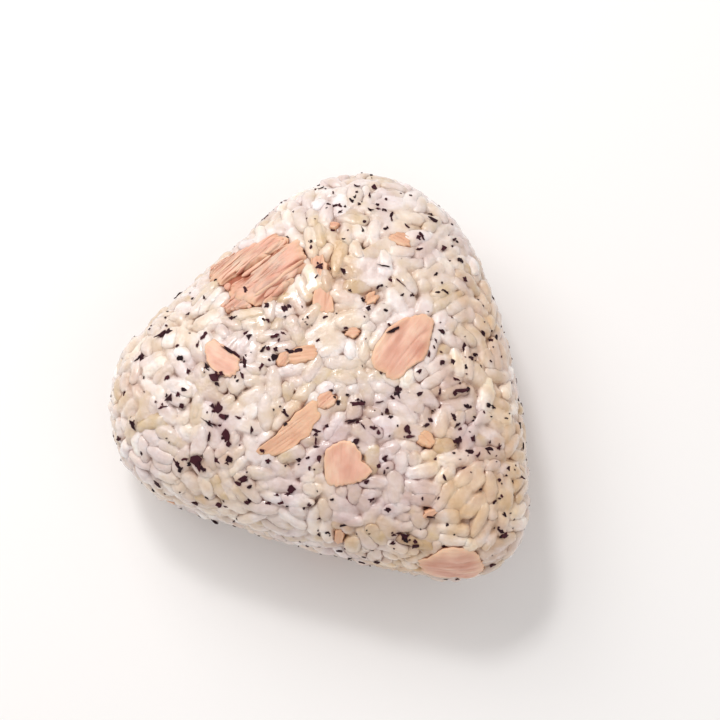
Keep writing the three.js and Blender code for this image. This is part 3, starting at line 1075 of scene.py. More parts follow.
def relief(flat, rim, pitch, depth, fray, seed):
    """The grooves' depth at each point of a slab's top, and the height of the whole."""
    # the narrow grooves run along x, wherever a stretched noise crosses zero
    cross = wander(flat, (16, pitch * 0.6), seed + 2)
    strength = np.clip(0.7 + 1.2 * wander(flat, (6, 3), seed + 3), 0, 1.3)
    low = -depth * np.exp(-((cross / GROOVE) ** 2)) * strength
    fibre = 0.04 * wander(flat, (1.4, 0.9), seed + 5)
    fibre += (0.03 if fray < SHEET else 0.14) * wander(flat, (6.0, 0.55), seed + 4)
    if fray < SHEET:  # it bends, wrinkles and leans a little
        swell = 0.2 * wander(flat, (6, 3), seed + 6) + 0.07 * wander(flat, (2.4, 1.3), seed + 7)
        swell += flat @ np.random.default_rng(seed).uniform(-0.05, 0.05, 2)
        bevel = 0.25 * np.clip((rim - 0.9) / 0.1, 0, 1) ** 2
        return low, np.minimum(low + fibre + swell - bevel, 0.2)
    swell = (0.08 + 0.14 * fray) * wander(flat, (5, 3.5), seed + 6)
    bevel = 0.7 * np.clip((rim - 0.72) / 0.28, 0, 1) ** 2.4
    return low, np.minimum(low + fibre + swell - bevel, 0.12)


def wall_under(outer, angles, thickness, fray, seed):
    """Rings of points from a top's outer ring down to the base."""
    for down in (0.25, 0.5, 0.75, 1.0):
        inward = 1 - (0.08 * down if fray < SHEET else 0.05 * down**2)
        z = outer[:, 2] * (1 - down) - down * (thickness - BASE)
        at = np.column_stack([angles * 3, np.full(len(angles), down * 3)])
        ridge = 0.10 * wander(at, (0.5, 1), seed + 8)
        yield np.column_stack([outer[:, :2] * (inward + ridge[:, None] * 0.3), z])


def slab(corners, thickness, lift, pitch, depth, seed, fray=0.5, around=112, rings=26):
    """A closed slab: points, faces, how near each point is to the rim, and how much painted shade it
    gets in its folds, on its wall and under it.
    """
    angles = full_turn(around)
    edge = torn_edge(corners, angles, fray, seed)
    share = 1 - (1 - np.linspace(0, 1, rings)[1:]) ** 1.7
    flat = (share[:, None, None] * compass(angles) * edge[:, None]).reshape(-1, 2)
    rim = np.repeat(share, around)
    low, high = relief(flat, rim, pitch, depth, fray, seed)
    top = np.column_stack([flat, high])
    wall = np.concatenate(list(wall_under(top[-around:], angles, thickness, fray, seed)))
    base = [wall[-around:] * (k, k, 1) - (0, 0, BASE * (1 - k)) for k in (0.66, 0.33)]
    ends = [(0, 0, high[:around].mean())], [(0, 0, -thickness)]
    points = np.concatenate([ends[0], top, wall, *base, ends[1]])
    points[:, 2] += lift + FLAKE_RISE
    points[:, :2] += corners.mean(0)
    # painted shade: the points below the top are darkest, the first ring of the wall a little, and
    # on the top the fold grooves
    rims, grooves = np.ones(len(points)), np.ones(len(points))
    rims[0], grooves[0] = 0, 0
    rims[1 : 1 + len(top)] = rim**5
    grooves[1 : 1 + len(top)] = np.clip(-low / 0.3, 0, 1) * (1 - rim**8)
    grooves[1 + len(top) : 1 + len(top) + around] = 0.15
    return points, closed_faces((len(points) - 2) // around, around), rims, grooves


# %% Strands on a thick slab
def strand(start, end, middle, width, thickness, lift, seed, rings=34, around=16):
    """A closed bar along x that thins out at both ends."""
    random = np.random.default_rng(seed)
    t = np.sin(math.pi / 2 * np.linspace(-1, 1, rings + 2)[1:-1])
    reach = np.sqrt(1 - np.abs(t) ** np.where(t < 0, *random.uniform(2.0, 6, 2)))
    line = np.column_stack([start + (end - start) * (t + 1) / 2, np.full(rings, middle)])
    bow = 0.2 * wander(line, (8, 3), seed) + 0.08 * wander(line, (2.5, 3), seed + 1)
    bow += random.uniform(-0.07, 0.07) * (line[:, 0] - line[:, 0].mean())
    wide = width / 2 * reach * (1 + 0.4 * wander(line, (2.5, 3), seed + 2))
    level = FLAKE_RISE + lift - thickness / 2 + 0.2 * wander(line, (6, 3), seed + 3)
    angles = full_turn(around)
    beside = np.sign(np.cos(angles)) * np.abs(np.cos(angles)) ** 0.8
    above = np.sign(np.sin(angles)) * np.abs(np.sin(angles)) ** 0.6
    x = np.repeat(line[:, :1], around, axis=1) + 0.12 * above * t[:, None]
    y = (middle + bow)[:, None] + wide[:, None] * beside
    z = level[:, None] + thickness / 2 * (0.4 + 0.6 * reach)[:, None] * above
    flat = np.stack([x, y], 2).reshape(-1, 2)
    ridges = 0.08 * wander(flat, (3.0, 0.5), seed + 4)
    z = z + np.maximum(above, 0) * ridges.reshape(z.shape)
    ends = [(line[i, 0] + side * 0.08, middle + bow[i], level[i]) for i, side in ((0, -1), (-1, 1))]
    points = np.concatenate([ends[:1], np.stack([x, y, z], 2).reshape(-1, 3), ends[1:]])
    # painted shade: the strand's ends, sides and underside are darker, its top clean
    rims, grooves = np.zeros(len(points)), np.full(len(points), 0.3)
    rims[1:-1] = np.repeat(random.uniform(0, 1) * (0.6 + 0.4 * np.abs(t) ** 6), around)
    grooves[1:-1] = np.tile(np.clip((0.2 - above) / 1.2, 0, 1), rings)
    return points, closed_faces(rings, around), rims, grooves


def bundle(corners, thickness, lift, pitch, depth, seed):
    """A slab with thin strands that come loose from its top, each within the outline."""
    random = np.random.default_rng(seed)
    yield slab(corners, thickness, lift - 0.12, pitch, depth, seed, 1.0, 168, 34)
    after = np.roll(corners, -1, axis=0)
    y, high = corners[:, 1].min() + 0.3, corners[:, 1].max() - 0.3
    while y < high:
        cut = (corners[:, 1] - y) * (after[:, 1] - y) < 0
        side = after[cut] - corners[cut]
        x = corners[cut, 0] + (y - corners[cut, 1]) * (side[:, 0] / side[:, 1])
        long = x.max() - x.min()
        start = x.min() + long * random.uniform(-0.05, 0.4)
        end = x.max() - long * random.uniform(-0.05, 0.4)
        width = random.uniform(0.6, 1.3)
        level = lift + random.uniform(-0.25, 0.12)
        yield strand(start, end, y, width, 1.2, level, random.integers(9999))
        y += width * random.uniform(0.55, 0.95)


# %% Draping the slabs
tuna = bpy.data.materials.new("Flaked cooked tuna")

LOWEST = 0.3  # nothing reaches under the floor


def tuna_piece(name, slabs, tans):
    """Drapes slabs, joins them and keeps their flat place as the piece's UV map."""
    flat, placed, faces, start = [], [], [], 0
    for (place, heading), (points, made, _, _) in slabs:
        placed.append(drape(points, place, heading))
        placed[-1][:, 2] = np.maximum(placed[-1][:, 2], LOWEST)
        flat.append(points[:, :2])
        faces += [tuple(start + i for i in face) for face in made]
        start += len(points)
    flat = np.concatenate(flat)
    piece = mesh_object(name, np.concatenate(placed), faces, tuna)
    corners = np.empty(len(piece.data.loops), int)
    piece.data.loops.foreach_get("vertex_index", corners)
    uv = piece.data.uv_layers.new(name="fibre")
    uv.data.foreach_set("uv", (flat[corners] * 0.1).ravel())
    keep_on_points(
        piece,
        rim=np.concatenate([rims for _, (_, _, rims, _) in slabs]),
        groove=np.concatenate([grooves for _, (_, _, _, grooves) in slabs]),
        tan=np.concatenate([np.full(len(part[0]), tan) for (_, part), tan in zip(slabs, tans)]),
    )
    shape = bmesh.new()
    shape.from_mesh(piece.data)
    bmesh.ops.recalc_face_normals(shape, faces=shape.faces)
    shape.to_mesh(piece.data)
    shape.free()
    return piece


STRANDED = ("tuna_chunk", "tuna_left_side", "tuna_back_foot")
TAN = {"tuna_strip": 0.6, "tuna_patch_inner": 0.45, "tuna_back_foot": 0.5}
flakes = {}
for order, name in enumerate(FLAKES):
    made = []
    if name == "tuna_chunk":  # its bed is all in a groove's colour
        # painted shade: the whole bed gets the dark groove colour, since it only shows in the
        # crevices
        points, faces, rims, grooves = slab(bed, 2.0, -1.5, 2.0, 0.2, 3)
        made.append((points, faces, rims * 0, np.full(len(points), 0.95)))
    for i, given in enumerate(SLABS[name]):
        seed = order * 5 + i
        if name in STRANDED:
            made += bundle(*given, seed)
            continue
        corners, thickness, lift, pitch, depth = given
        made.append(slab(corners, thickness, lift, pitch, depth, seed, 0.65))
        # an under layer that looks out at one side
        under = (corners - corners.mean(0)) * (0.86, 0.92) + corners.mean(0) + (0.3, -0.3)
        made.append(slab(under, thickness - 0.6, lift - 0.75, pitch, depth, seed + 3, 0.5))
    parts = [(FLAKES[name], part) for part in made]
    flakes[name] = tuna_piece(name + "_flesh", parts, [TAN.get(name, 0.0)] * len(made))
crumb_slabs = [
    ((place, heading), slab(corners, CRUMB_THICKNESS, -0.75, 2.0, 0.1, 60 + i, 0.9, 56, 12))
    for i, (place, heading, corners) in enumerate(crumbs)
]
crumb_tans = np.random.default_rng(6).uniform(0.4, 1, len(crumbs))
crumb_piece = tuna_piece("tuna_crumbs", crumb_slabs, crumb_tans)
print("tuna:", {name: len(piece.data.polygons) for name, piece in flakes.items()})

# %% [markdown]
# ## Dried red shiso
#
# Shiso leaves are dried with salt and crumbled into flecks from dust to about 3 mm, nearly black
# with a purple cast. Wet rice makes them cling, so each fleck is a thin ragged disc with a little
# curl, laid where a ray meets the rice and turned to lie along it.

# %% The rice as something rays can hit
def ray_tree(pieces):
    points, faces = [], []
    for piece in pieces:
        start = len(points)
        points += [Vector(p) for p in coordinates(piece.data)]
        faces += [tuple(start + i for i in face.vertices) for face in piece.data.polygons]
    print("rays meet", len(faces), "faces")
    return BVHTree.FromPolygons(points, faces)


rice_tree = ray_tree([mass, loose_grains])
whole_tree = ray_tree([mass, loose_grains, crumb_piece, *flakes.values()])

# %% Flecks that show from the camera
# column and row in the picture, length and width in mm, and heading in the picture
DRAWN_FLECKS = [
    (197, 464, 2.5, 2.3, -35), (203, 469, 1.6, 0.9, -60), (189, 464, 1.0, 0.6, 10),
    (178, 466, 2.4, 1.0, -50), (180, 469, 1.3, 1.0, 0), (174, 459, 1.4, 0.3, -60),
    (219, 408, 1.9, 1.9, 20), (222, 417, 1.0, 1.0, 0), (221, 425, 1.5, 1.0, 80),
    (226, 436, 1.5, 2.2, 10), (228, 444, 1.3, 0.9, 0), (208, 423, 2.4, 0.35, -40),
    (209, 437, 2.4, 0.35, 80), (229, 458, 1.0, 1.8, 0), (217, 461, 1.1, 1.1, 0),
    (216, 378, 2.2, 1.9, 30), (221, 374, 1.2, 1.2, 60), (208, 367, 1.7, 0.9, -50),
    (242, 376, 1.3, 1.8, 0), (244, 361, 1.0, 1.9, 15), (236, 354, 1.6, 0.8, -30),
    (229, 350, 2.2, 0.4, -35), (249, 337, 1.3, 1.0, 30), (246, 333, 1.1, 0.6, 0),
    (163, 334, 2.6, 1.0, 30), (168, 331, 1.4, 0.9, -10), (204, 336, 1.4, 0.8, 60),
    (232, 318, 1.1, 0.7, -20), (142, 356, 1.5, 1.0, 60), (138, 359, 1.3, 0.4, 40),
    (180, 358, 1.1, 1.1, 0), (167, 377, 0.7, 1.3, -20), (184, 389, 1.2, 0.6, 0),
    (178, 394, 0.6, 1.3, 0), (169, 399, 1.8, 1.1, 35), (163, 407, 1.6, 0.5, 10),
    (181, 405, 0.8, 1.2, 20), (133, 425, 1.0, 1.7, 25), (119, 439, 1.2, 1.2, 0),
    (157, 484, 1.6, 0.9, -35), (153, 490, 0.6, 1.2, 0), (131, 478, 1.2, 0.7, -40),
    (195, 503, 1.2, 0.6, -20), (207, 498, 0.9, 0.5, -30), (244, 479, 2.0, 0.9, 15),
    (239, 484, 1.4, 0.9, -40), (250, 487, 1.1, 0.7, 50), (249, 500, 1.4, 1.2, 30),
    (291, 489, 1.3, 1.3, 0), (281, 503, 1.4, 0.7, 20), (268, 503, 1.2, 0.6, 0),
    (268, 460, 1.2, 0.5, 0), (300, 459, 1.1, 0.9, 30), (319, 459, 1.0, 1.4, -30),
    (309, 469, 0.5, 1.0, 0), (308, 458, 0.7, 0.5, 0), (316, 434, 1.4, 0.6, 40),
    (315, 430, 1.8, 0.5, -10), (316, 440, 0.5, 2.0, 5), (316, 447, 1.2, 0.5, 0),
    (285, 413, 1.7, 0.7, -55), (286, 424, 1.4, 0.5, 35), (252, 429, 0.6, 1.6, 0),
    (262, 451, 1.0, 0.6, 0), (276, 336, 1.8, 0.9, 15), (283, 333, 1.2, 0.4, -30),
    (263, 349, 1.0, 1.3, -30), (268, 348, 0.6, 1.0, 20), (289, 351, 1.5, 0.8, -10),
    (298, 351, 1.5, 0.8, 10), (275, 358, 1.3, 1.2, 0), (261, 367, 0.7, 1.5, -20),
    (268, 320, 0.7, 0.7, 0), (398, 393, 1.6, 1.8, -30), (393, 398, 0.9, 1.0, 0),
    (387, 411, 0.8, 0.8, 0), (390, 417, 0.8, 0.6, 0), (357, 403, 2.4, 0.9, 0),
    (363, 403, 1.1, 1.1, 0), (338, 404, 1.3, 1.0, 20), (331, 390, 0.7, 0.5, 0),
    (335, 397, 0.5, 0.5, 0), (380, 402, 1.4, 0.3, 15), (358, 422, 1.5, 0.9, 10),
    (352, 422, 2.2, 0.3, 15), (363, 426, 1.6, 0.4, -45), (373, 428, 1.7, 0.7, -10),
    (378, 432, 0.9, 0.6, -50), (355, 442, 1.2, 0.8, 30), (318, 340, 0.8, 0.5, 20),
    (419, 394, 1.2, 0.6, 30), (440, 392, 0.5, 1.2, 0), (461, 391, 2.8, 0.7, 12),
    (455, 394, 1.2, 0.8, 40), (468, 389, 1.0, 0.8, 60), (489, 405, 1.3, 0.8, -10),
    (493, 407, 1.0, 0.6, -30), (474, 417, 0.6, 0.5, 0), (506, 418, 0.7, 0.4, 0),
    (520, 425, 0.5, 1.7, 0), (457, 425, 1.4, 0.5, 40), (408, 430, 1.0, 1.5, 10),
    (409, 437, 1.6, 0.6, 10), (430, 420, 0.8, 1.2, 30), (426, 425, 1.3, 0.6, 30),
    (460, 439, 1.3, 1.5, 0), (435, 459, 0.9, 0.6, -20), (444, 478, 0.5, 1.4, 20),
    (464, 468, 0.9, 1.5, 0), (470, 452, 2.0, 0.8, 15), (478, 455, 1.4, 0.5, 45),
    (489, 449, 1.5, 0.7, 10), (499, 447, 0.7, 1.3, -20), (384, 459, 1.6, 0.8, 45),
    (379, 466, 0.9, 0.9, 0), (366, 482, 1.4, 1.0, 10), (388, 510, 1.5, 0.7, -10),
    (371, 500, 1.3, 0.7, 30), (344, 525, 3.0, 0.5, 20), (332, 500, 0.6, 0.6, 0),
    (404, 536, 2.0, 1.2, 20), (405, 540, 1.1, 1.5, 0), (400, 533, 1.4, 0.8, -20),
    (394, 535, 0.9, 0.5, 20), (392, 543, 1.4, 0.6, 25), (415, 546, 1.2, 0.9, 30),
    (340, 551, 1.1, 0.6, 10), (361, 562, 1.3, 0.7, 0), (501, 531, 1.4, 0.7, -35),
    (499, 480, 0.7, 0.9, 20), (521, 477, 1.8, 0.7, -15), (523, 446, 0.5, 1.0, 0),
    (492, 565, 1.2, 0.8, 10), (457, 579, 0.6, 0.4, 0), (429, 508, 1.1, 0.3, 60),
    (430, 517, 1.6, 0.3, 0), (334, 206, 1.2, 0.7, 10), (340, 212, 1.0, 0.6, 10),
    (352, 201, 1.1, 0.6, -50), (355, 197, 0.6, 0.9, -40), (377, 205, 0.8, 1.2, 20),
    (378, 209, 1.2, 0.8, -30), (371, 210, 1.2, 0.5, -20), (386, 199, 0.6, 0.9, 0),
    (391, 215, 0.6, 1.4, -20), (363, 230, 0.5, 1.3, 10), (387, 228, 1.1, 0.6, 20),
    (407, 227, 1.2, 0.7, -40), (422, 236, 1.6, 0.6, -60), (419, 238, 1.0, 0.9, 0),
    (419, 249, 1.2, 0.5, 10), (433, 220, 1.6, 0.8, -10), (431, 214, 1.0, 0.4, -10),
    (449, 214, 0.9, 0.5, 0), (444, 248, 1.2, 0.9, 50), (457, 242, 1.0, 0.5, -50),
    (465, 279, 1.0, 1.0, 0), (446, 292, 1.0, 0.5, -20), (438, 292, 0.8, 0.4, 10),
    (412, 295, 1.0, 0.6, 0), (402, 295, 0.8, 0.5, 20), (391, 280, 1.6, 0.7, 0),
    (378, 287, 1.0, 0.5, 40), (382, 286, 0.7, 0.5, 30), (386, 310, 0.7, 0.5, 0),
    (363, 300, 1.2, 1.1, 20), (369, 308, 1.4, 0.6, 35), (344, 272, 1.4, 1.0, -60),
    (320, 267, 1.9, 0.9, 25), (316, 277, 1.0, 0.4, 50), (325, 317, 0.9, 0.6, 0),
    (333, 230, 0.8, 0.5, 20), (311, 241, 0.5, 0.7, 0), (311, 247, 0.5, 0.9, 10),
    (344, 239, 0.8, 0.4, 0), (269, 213, 1.9, 0.7, 35), (266, 217, 1.4, 0.3, 40),
    (273, 184, 0.8, 1.4, 10), (322, 188, 1.5, 0.3, 30), (246, 290, 0.7, 1.2, 25),
    (285, 308, 0.9, 1.7, 10), (393, 330, 2.2, 1.0, 12), (420, 371, 1.4, 0.9, 30),
    (441, 331, 1.1, 0.8, -30), (436, 341, 0.6, 0.9, 10), (434, 347, 0.5, 0.7, 0),
    (429, 355, 0.4, 1.5, -10), (464, 347, 0.7, 1.6, -20), (442, 363, 0.7, 1.2, -30),
    (453, 362, 0.9, 0.9, 0), (466, 367, 0.7, 0.7, 0), (483, 333, 1.2, 0.8, -40),
    (490, 340, 0.7, 0.7, 0), (496, 336, 0.6, 1.6, 0), (346, 328, 0.7, 0.4, 20),
    (400, 389, 1.0, 0.6, 0),
]
# the same without the width, for thin stems
STEMS = [
    (227, 350, 3.0, -35), (384, 266, 2.0, -10), (400, 282, 1.8, -40), (353, 420, 2.6, 10),
    (212, 424, 2.0, -30),
]

# %% Where every fleck lies
GROWTH = 1.32  # torn corners make a fleck smaller than its length and width
STEM_WIDTH = 0.28
LARGE = 1.6  # mm², from which a drawn fleck has torn bits beside it
CLUSTERS, SMALL_FLECKS = 150, 1500
UNSEEN_FLECKS = 380  # the first of the small ones, where the camera doesn't look, have more size


def leaf_places():
    """Place, direction along, normal, and length, width and thickness of every fleck."""
    random = np.random.default_rng(29)
    origin, found = Vector(eye), []

    def land(start, direction, heading, long, wide, in_picture=True):
        tree = whole_tree if in_picture else rice_tree
        hit, normal, _, _ = tree.ray_cast(Vector(start), Vector(direction))
        if hit is None:
            return
        outward = Vector(skin(np.array([hit[:]]))[1][0])
        normal = (normal + 1.2 * outward).normalized()
        reference = Vector(right) if in_picture else normal.orthogonal()
        along = (reference - normal * reference.dot(normal)).normalized()
        along.rotate(Matrix.Rotation(math.radians(heading), 3, normal))
        thick = 0.14 + 0.06 * random.random()
        found.append((hit + normal * 0.05, along, normal, (long * GROWTH, wide * GROWTH, thick)))

    for column, row, long, wide, heading in DRAWN_FLECKS:
        land(origin, ray_through(column, row), heading, long, wide)
        if long * wide > LARGE:
            for _ in range(2):
                aside, below = random.normal(0, 3.2, 2)
                bit = random.uniform(0.4, 0.8) * min(long, wide)
                ray = ray_through(column + aside, row + below)
                land(origin, ray, random.uniform(0, 180), bit, bit * 0.7)
    for column, row, long, heading in STEMS:
        land(origin, ray_through(column, row), heading, long, STEM_WIDTH)
    centres = [surface_point(anywhere(random))[0] for _ in range(CLUSTERS)]
    for k in range(SMALL_FLECKS):
        unseen = k < UNSEEN_FLECKS
        if k % 2 == 0 and not unseen:
            start = surface_point(anywhere(random))[0]
        else:
            near = centres[random.integers(CLUSTERS)] + random.normal(0, 2.6, 3)
            start = surface_point(near - CENTRE)[0]
        outward = skin(start[None])[1][0]
        facing = outward @ backwards
        if start[2] < 1.5 or (unseen and facing > 0.1):
            continue
        if 0 < facing < 0.55 and random.random() < 0.75:  # fewer on the sides that show
            continue
        long = 0.35 + 0.9 * random.random() ** 2.5
        long += 1.3 * random.random() if unseen and k % 2 else 0
        wide = long * random.uniform(0.35, 0.9)
        land(start + outward * 2, -outward, random.uniform(0, 360), long, wide, False)
    return found


found = leaf_places()
leaf_centres, along, normals, leaf_sizes = (
    np.array([tuple(values) for values in column]) for column in zip(*found)
)
leaf_turns = eulers(along, np.cross(normals, along), normals)
print("flecks:", len(found))


# %% The fleck tree
def fleck_tree():
    tree, given = node_group(
        "Torn leaf flecks",
        ("Corners", "Int", 9),
        ("Least reach", "Float", 0.25),
        ("Curl", "Float", 0.5),
        ("Seed", "Int", 9),
        ("Leaf", "Material", None),
    )
    links = {"Vertices": given["Corners"], "Side Segments": 1, "Radius": 1.0, "Depth": 2.0}
    disc = add(tree, "GeometryNodeMeshCylinder", links, fill_type="TRIANGLE_FAN")
    copies = copies_on(tree, given["Geometry"], disc).outputs["Instances"]
    drawn = add(tree, "FunctionNodeRandomValue", {"Seed": given["Seed"]}, data_type="FLOAT")
    copies = store(tree, copies, "own", drawn.outputs[1], data_type="FLOAT", domain="INSTANCE")
    real = add(tree, "GeometryNodeRealizeInstances", {"Geometry": copies})

    place = vector_parts(tree, read(tree, "unit", "FLOAT_VECTOR"))
    half = vector_parts(tree, read(tree, "size", "FLOAT_VECTOR"), 0.5)
    own = read(tree, "own")
    # each corner reaches out by its own share, the same above and below
    corner = add(tree, "ShaderNodeCombineXYZ", {"X": place["X"], "Y": place["Y"]})
    links = {"Vector": corner, "W": times(tree, own, 91.0)}
    drawn = add(tree, "ShaderNodeTexWhiteNoise", links, noise_dimensions="4D").outputs["Value"]
    links = {"Value": drawn, "To Min": given["Least reach"], "To Max": 1.15}
    reach = add(tree, "ShaderNodeMapRange", links).outputs["Result"]
    x, y = (times(tree, place[way], half[way], reach) for way in ("X", "Y"))
    curl = times(tree, given["Curl"], calc(tree, "SUBTRACT", own, 0.35))
    lift = times(tree, place["X"], place["X"], half["X"], curl)
    z = calc(tree, "ADD", times(tree, place["Z"], half["Z"]), lift)
    result = shaped_copies(tree, real, x, y, z, given["Leaf"], ["own"])
    add(tree, "NodeGroupOutput", {"Geometry": result})
    return tree


shiso = bpy.data.materials.new("Dried red shiso")
leaf_tints = np.random.default_rng(5).random(len(found))
flecks = carriers("shiso_flecks", leaf_centres, leaf_turns, leaf_sizes, leaf_tints)
grow(flecks, fleck_tree(), Leaf=shiso)
print("shiso:", len(flecks.data.polygons), "faces")

# %% [markdown]
# ## Where the colour ran
#
# The leaf's purple and the tuna's soy seasoning soak into the rice round them, and some soy spots
# along the right side darken it as painted shade as well. Both are kept as a number on each point
# of the rice, for the finish to read.

# %% Stains
# column and row in the picture, radius in mm and strength
PURPLE = [
    (324, 441, 3.2, 0.9), (338, 428, 3.0, 0.9), (309, 450, 3.0, 0.6), (392, 455, 3.0, 0.8),
    (380, 470, 2.6, 0.7), (300, 475, 4.0, 0.45), (412, 505, 4.5, 0.55), (400, 425, 3.0, 0.5),
    (450, 388, 2.5, 0.8), (478, 460, 3.5, 0.6), (212, 385, 3.0, 0.5), (224, 432, 4.0, 0.5),
    (192, 458, 3.5, 0.4), (345, 285, 4.0, 0.3), (436, 402, 4.5, 0.4), (356, 408, 4.5, 0.45),
    (354, 500, 4.5, 0.5), (275, 500, 5.0, 0.4), (424, 240, 2.5, 0.5), (372, 420, 3.0, 0.5),
    (402, 540, 3.5, 0.45), (160, 370, 5.0, 0.25), (265, 340, 4.0, 0.3), (372, 500, 5.0, 0.5),
    (345, 520, 4.0, 0.5), (425, 485, 5.0, 0.5), (450, 420, 5.0, 0.4), (485, 425, 4.0, 0.4),
]
SOY_AND_SHADE = [
    (480, 500, 7.0, 0.8), (455, 485, 6.0, 0.6), (512, 465, 5.0, 0.7), (500, 545, 6.0, 0.6),
    (128, 390, 6.0, 0.5), (438, 443, 3.5, 0.8), (350, 565, 8.0, 0.7), (294, 412, 3.5, 0.8),
    (470, 285, 6.0, 0.5), (226, 460, 2.5, 0.7), (420, 560, 8.0, 0.7), (342, 535, 4.0, 0.6),
    (200, 500, 7.0, 0.4), (402, 243, 4.0, 0.4), (497, 350, 5.0, 0.5), (240, 300, 5.0, 0.3),
    (300, 352, 4.0, 0.4), (210, 250, 8.0, 0.3), (355, 230, 4.0, 0.35), (335, 480, 3.0, 0.5),
    # the spots along the right side, down to (515, 500), darken it as painted shade as well as soy
    (505, 400, 6.0, 0.7), (522, 440, 6.0, 0.6), (488, 320, 6.0, 0.6), (472, 240, 6.0, 0.4),
    (515, 500, 6.0, 0.4), (322, 262, 5.0, 0.6), (332, 298, 5.0, 0.6), (346, 256, 4.0, 0.4),
    (300, 304, 4.0, 0.5), (455, 370, 5.0, 0.5),
]
STRONG = 1.2  # mm², from which a fleck stains the rice round it


def soaked(points, spots, random_spots, seed):
    """How strongly each point is stained, or for some soy spots painted with shade, from 0 to 1."""
    random = np.random.default_rng(seed)
    amount = np.zeros(len(points))
    sources = [(on_ball(column, row), radius, strength) for column, row, radius, strength in spots]
    for _ in range(random_spots):
        place = surface_point(anywhere(random))[0]
        if skin(place[None])[1][0] @ backwards < 0.3:
            sources.append((place, random.uniform(2.5, 6), random.uniform(0.3, 0.8)))
    for place, radius, strength in sources:
        amount += strength * np.exp(-((points - place) ** 2).sum(1) / radius**2)
    return np.clip(amount * (1 + 0.7 * wander(points, 2.2, seed)), 0, 1)


for piece, points in ((mass, mass_points), (loose_grains, loose_points)):
    purple = soaked(points, PURPLE, 26, 1)
    for place, extent in zip(leaf_centres, leaf_sizes):
        if extent[0] * extent[1] > STRONG:
            near = np.abs(points - place).max(1) < 3
            away = ((points[near] - place) ** 2).sum(1)
            purple[near] += 0.35 * np.exp(-away / 1.3**2)
    keep_on_points(piece, purple=np.clip(purple, 0, 1), soy=soaked(points, SOY_AND_SHADE, 26, 2))
print("stained:", (purple > 0.3).mean().round(2), "of the loose grains' points")

# %% [markdown]
# ## Finishes
#
# Cooked rice is milky, a little see-through and wet, so its finish has a clear coat over a body
# that light enters. Its colours come from three sources: the tint that each grain carries, noise
# within the grain, and the stains. On top of these it paints shade: deep points and the seams
# between grains are darker, and the finish finds the seams by asking how much of the way outwards
# is open.

# %% Small trees for the finishes
def finish(material, make):
    """Gives a material the Principled inputs that make returns for its tree."""
    material.use_nodes = True
    tree = material.node_tree
    tree.nodes.clear()
    shader = add(tree, "ShaderNodeBsdfPrincipled", make(tree))
    add(tree, "ShaderNodeOutputMaterial", {"Surface": shader})


def number(tree, name):
    """A number that the mesh keeps on its points."""
    return add(tree, "ShaderNodeAttribute", attribute_name=name).outputs["Fac"]


def mix(tree, amount, first, second, blend="MIX"):
    """Mixes two colours, the second of them a hex code or an output."""
    second = linear(second) if isinstance(second, str) else second
    links = {"Fac": amount, "Color1": first, "Color2": second}
    return add(tree, "ShaderNodeMixRGB", links, blend_type=blend)


def noise(tree, place, size, detail):
    links = {"Vector": place, "Scale": 1 / size, "Detail": detail}
    return add(tree, "ShaderNodeTexNoise", links).outputs["Fac"]


def ramp(tree, value, *stops):
    """A colour ramp through these places and colours."""
    made = add(tree, "ShaderNodeValToRGB", {"Fac": value})
    elements = made.color_ramp.elements
    while len(elements) < len(stops):
        elements.new(0.5)
    for element, (position, colour) in zip(elements, stops):
        element.position, element.color = position, linear(colour)
    return made.outputs["Color"]


def stretch(tree, value, start, end, low=0.0, high=1.0):
    """Low where the value is at start and high where it is at end."""
    links = {"Value": value, "From Min": start, "From Max": end, "To Min": low, "To Max": high}
    return add(tree, "ShaderNodeMapRange", links).outputs["Result"]


def open_share(tree, distance):
    """How much of the way outwards is open within this distance."""
    return add(tree, "ShaderNodeAmbientOcclusion", {"Distance": distance}, samples=6).outputs["AO"]


def bumps_from(tree, height, strength):
    links = {"Height": height, "Strength": strength, "Distance": 0.25 * MM}
    return add(tree, "ShaderNodeBump", links)


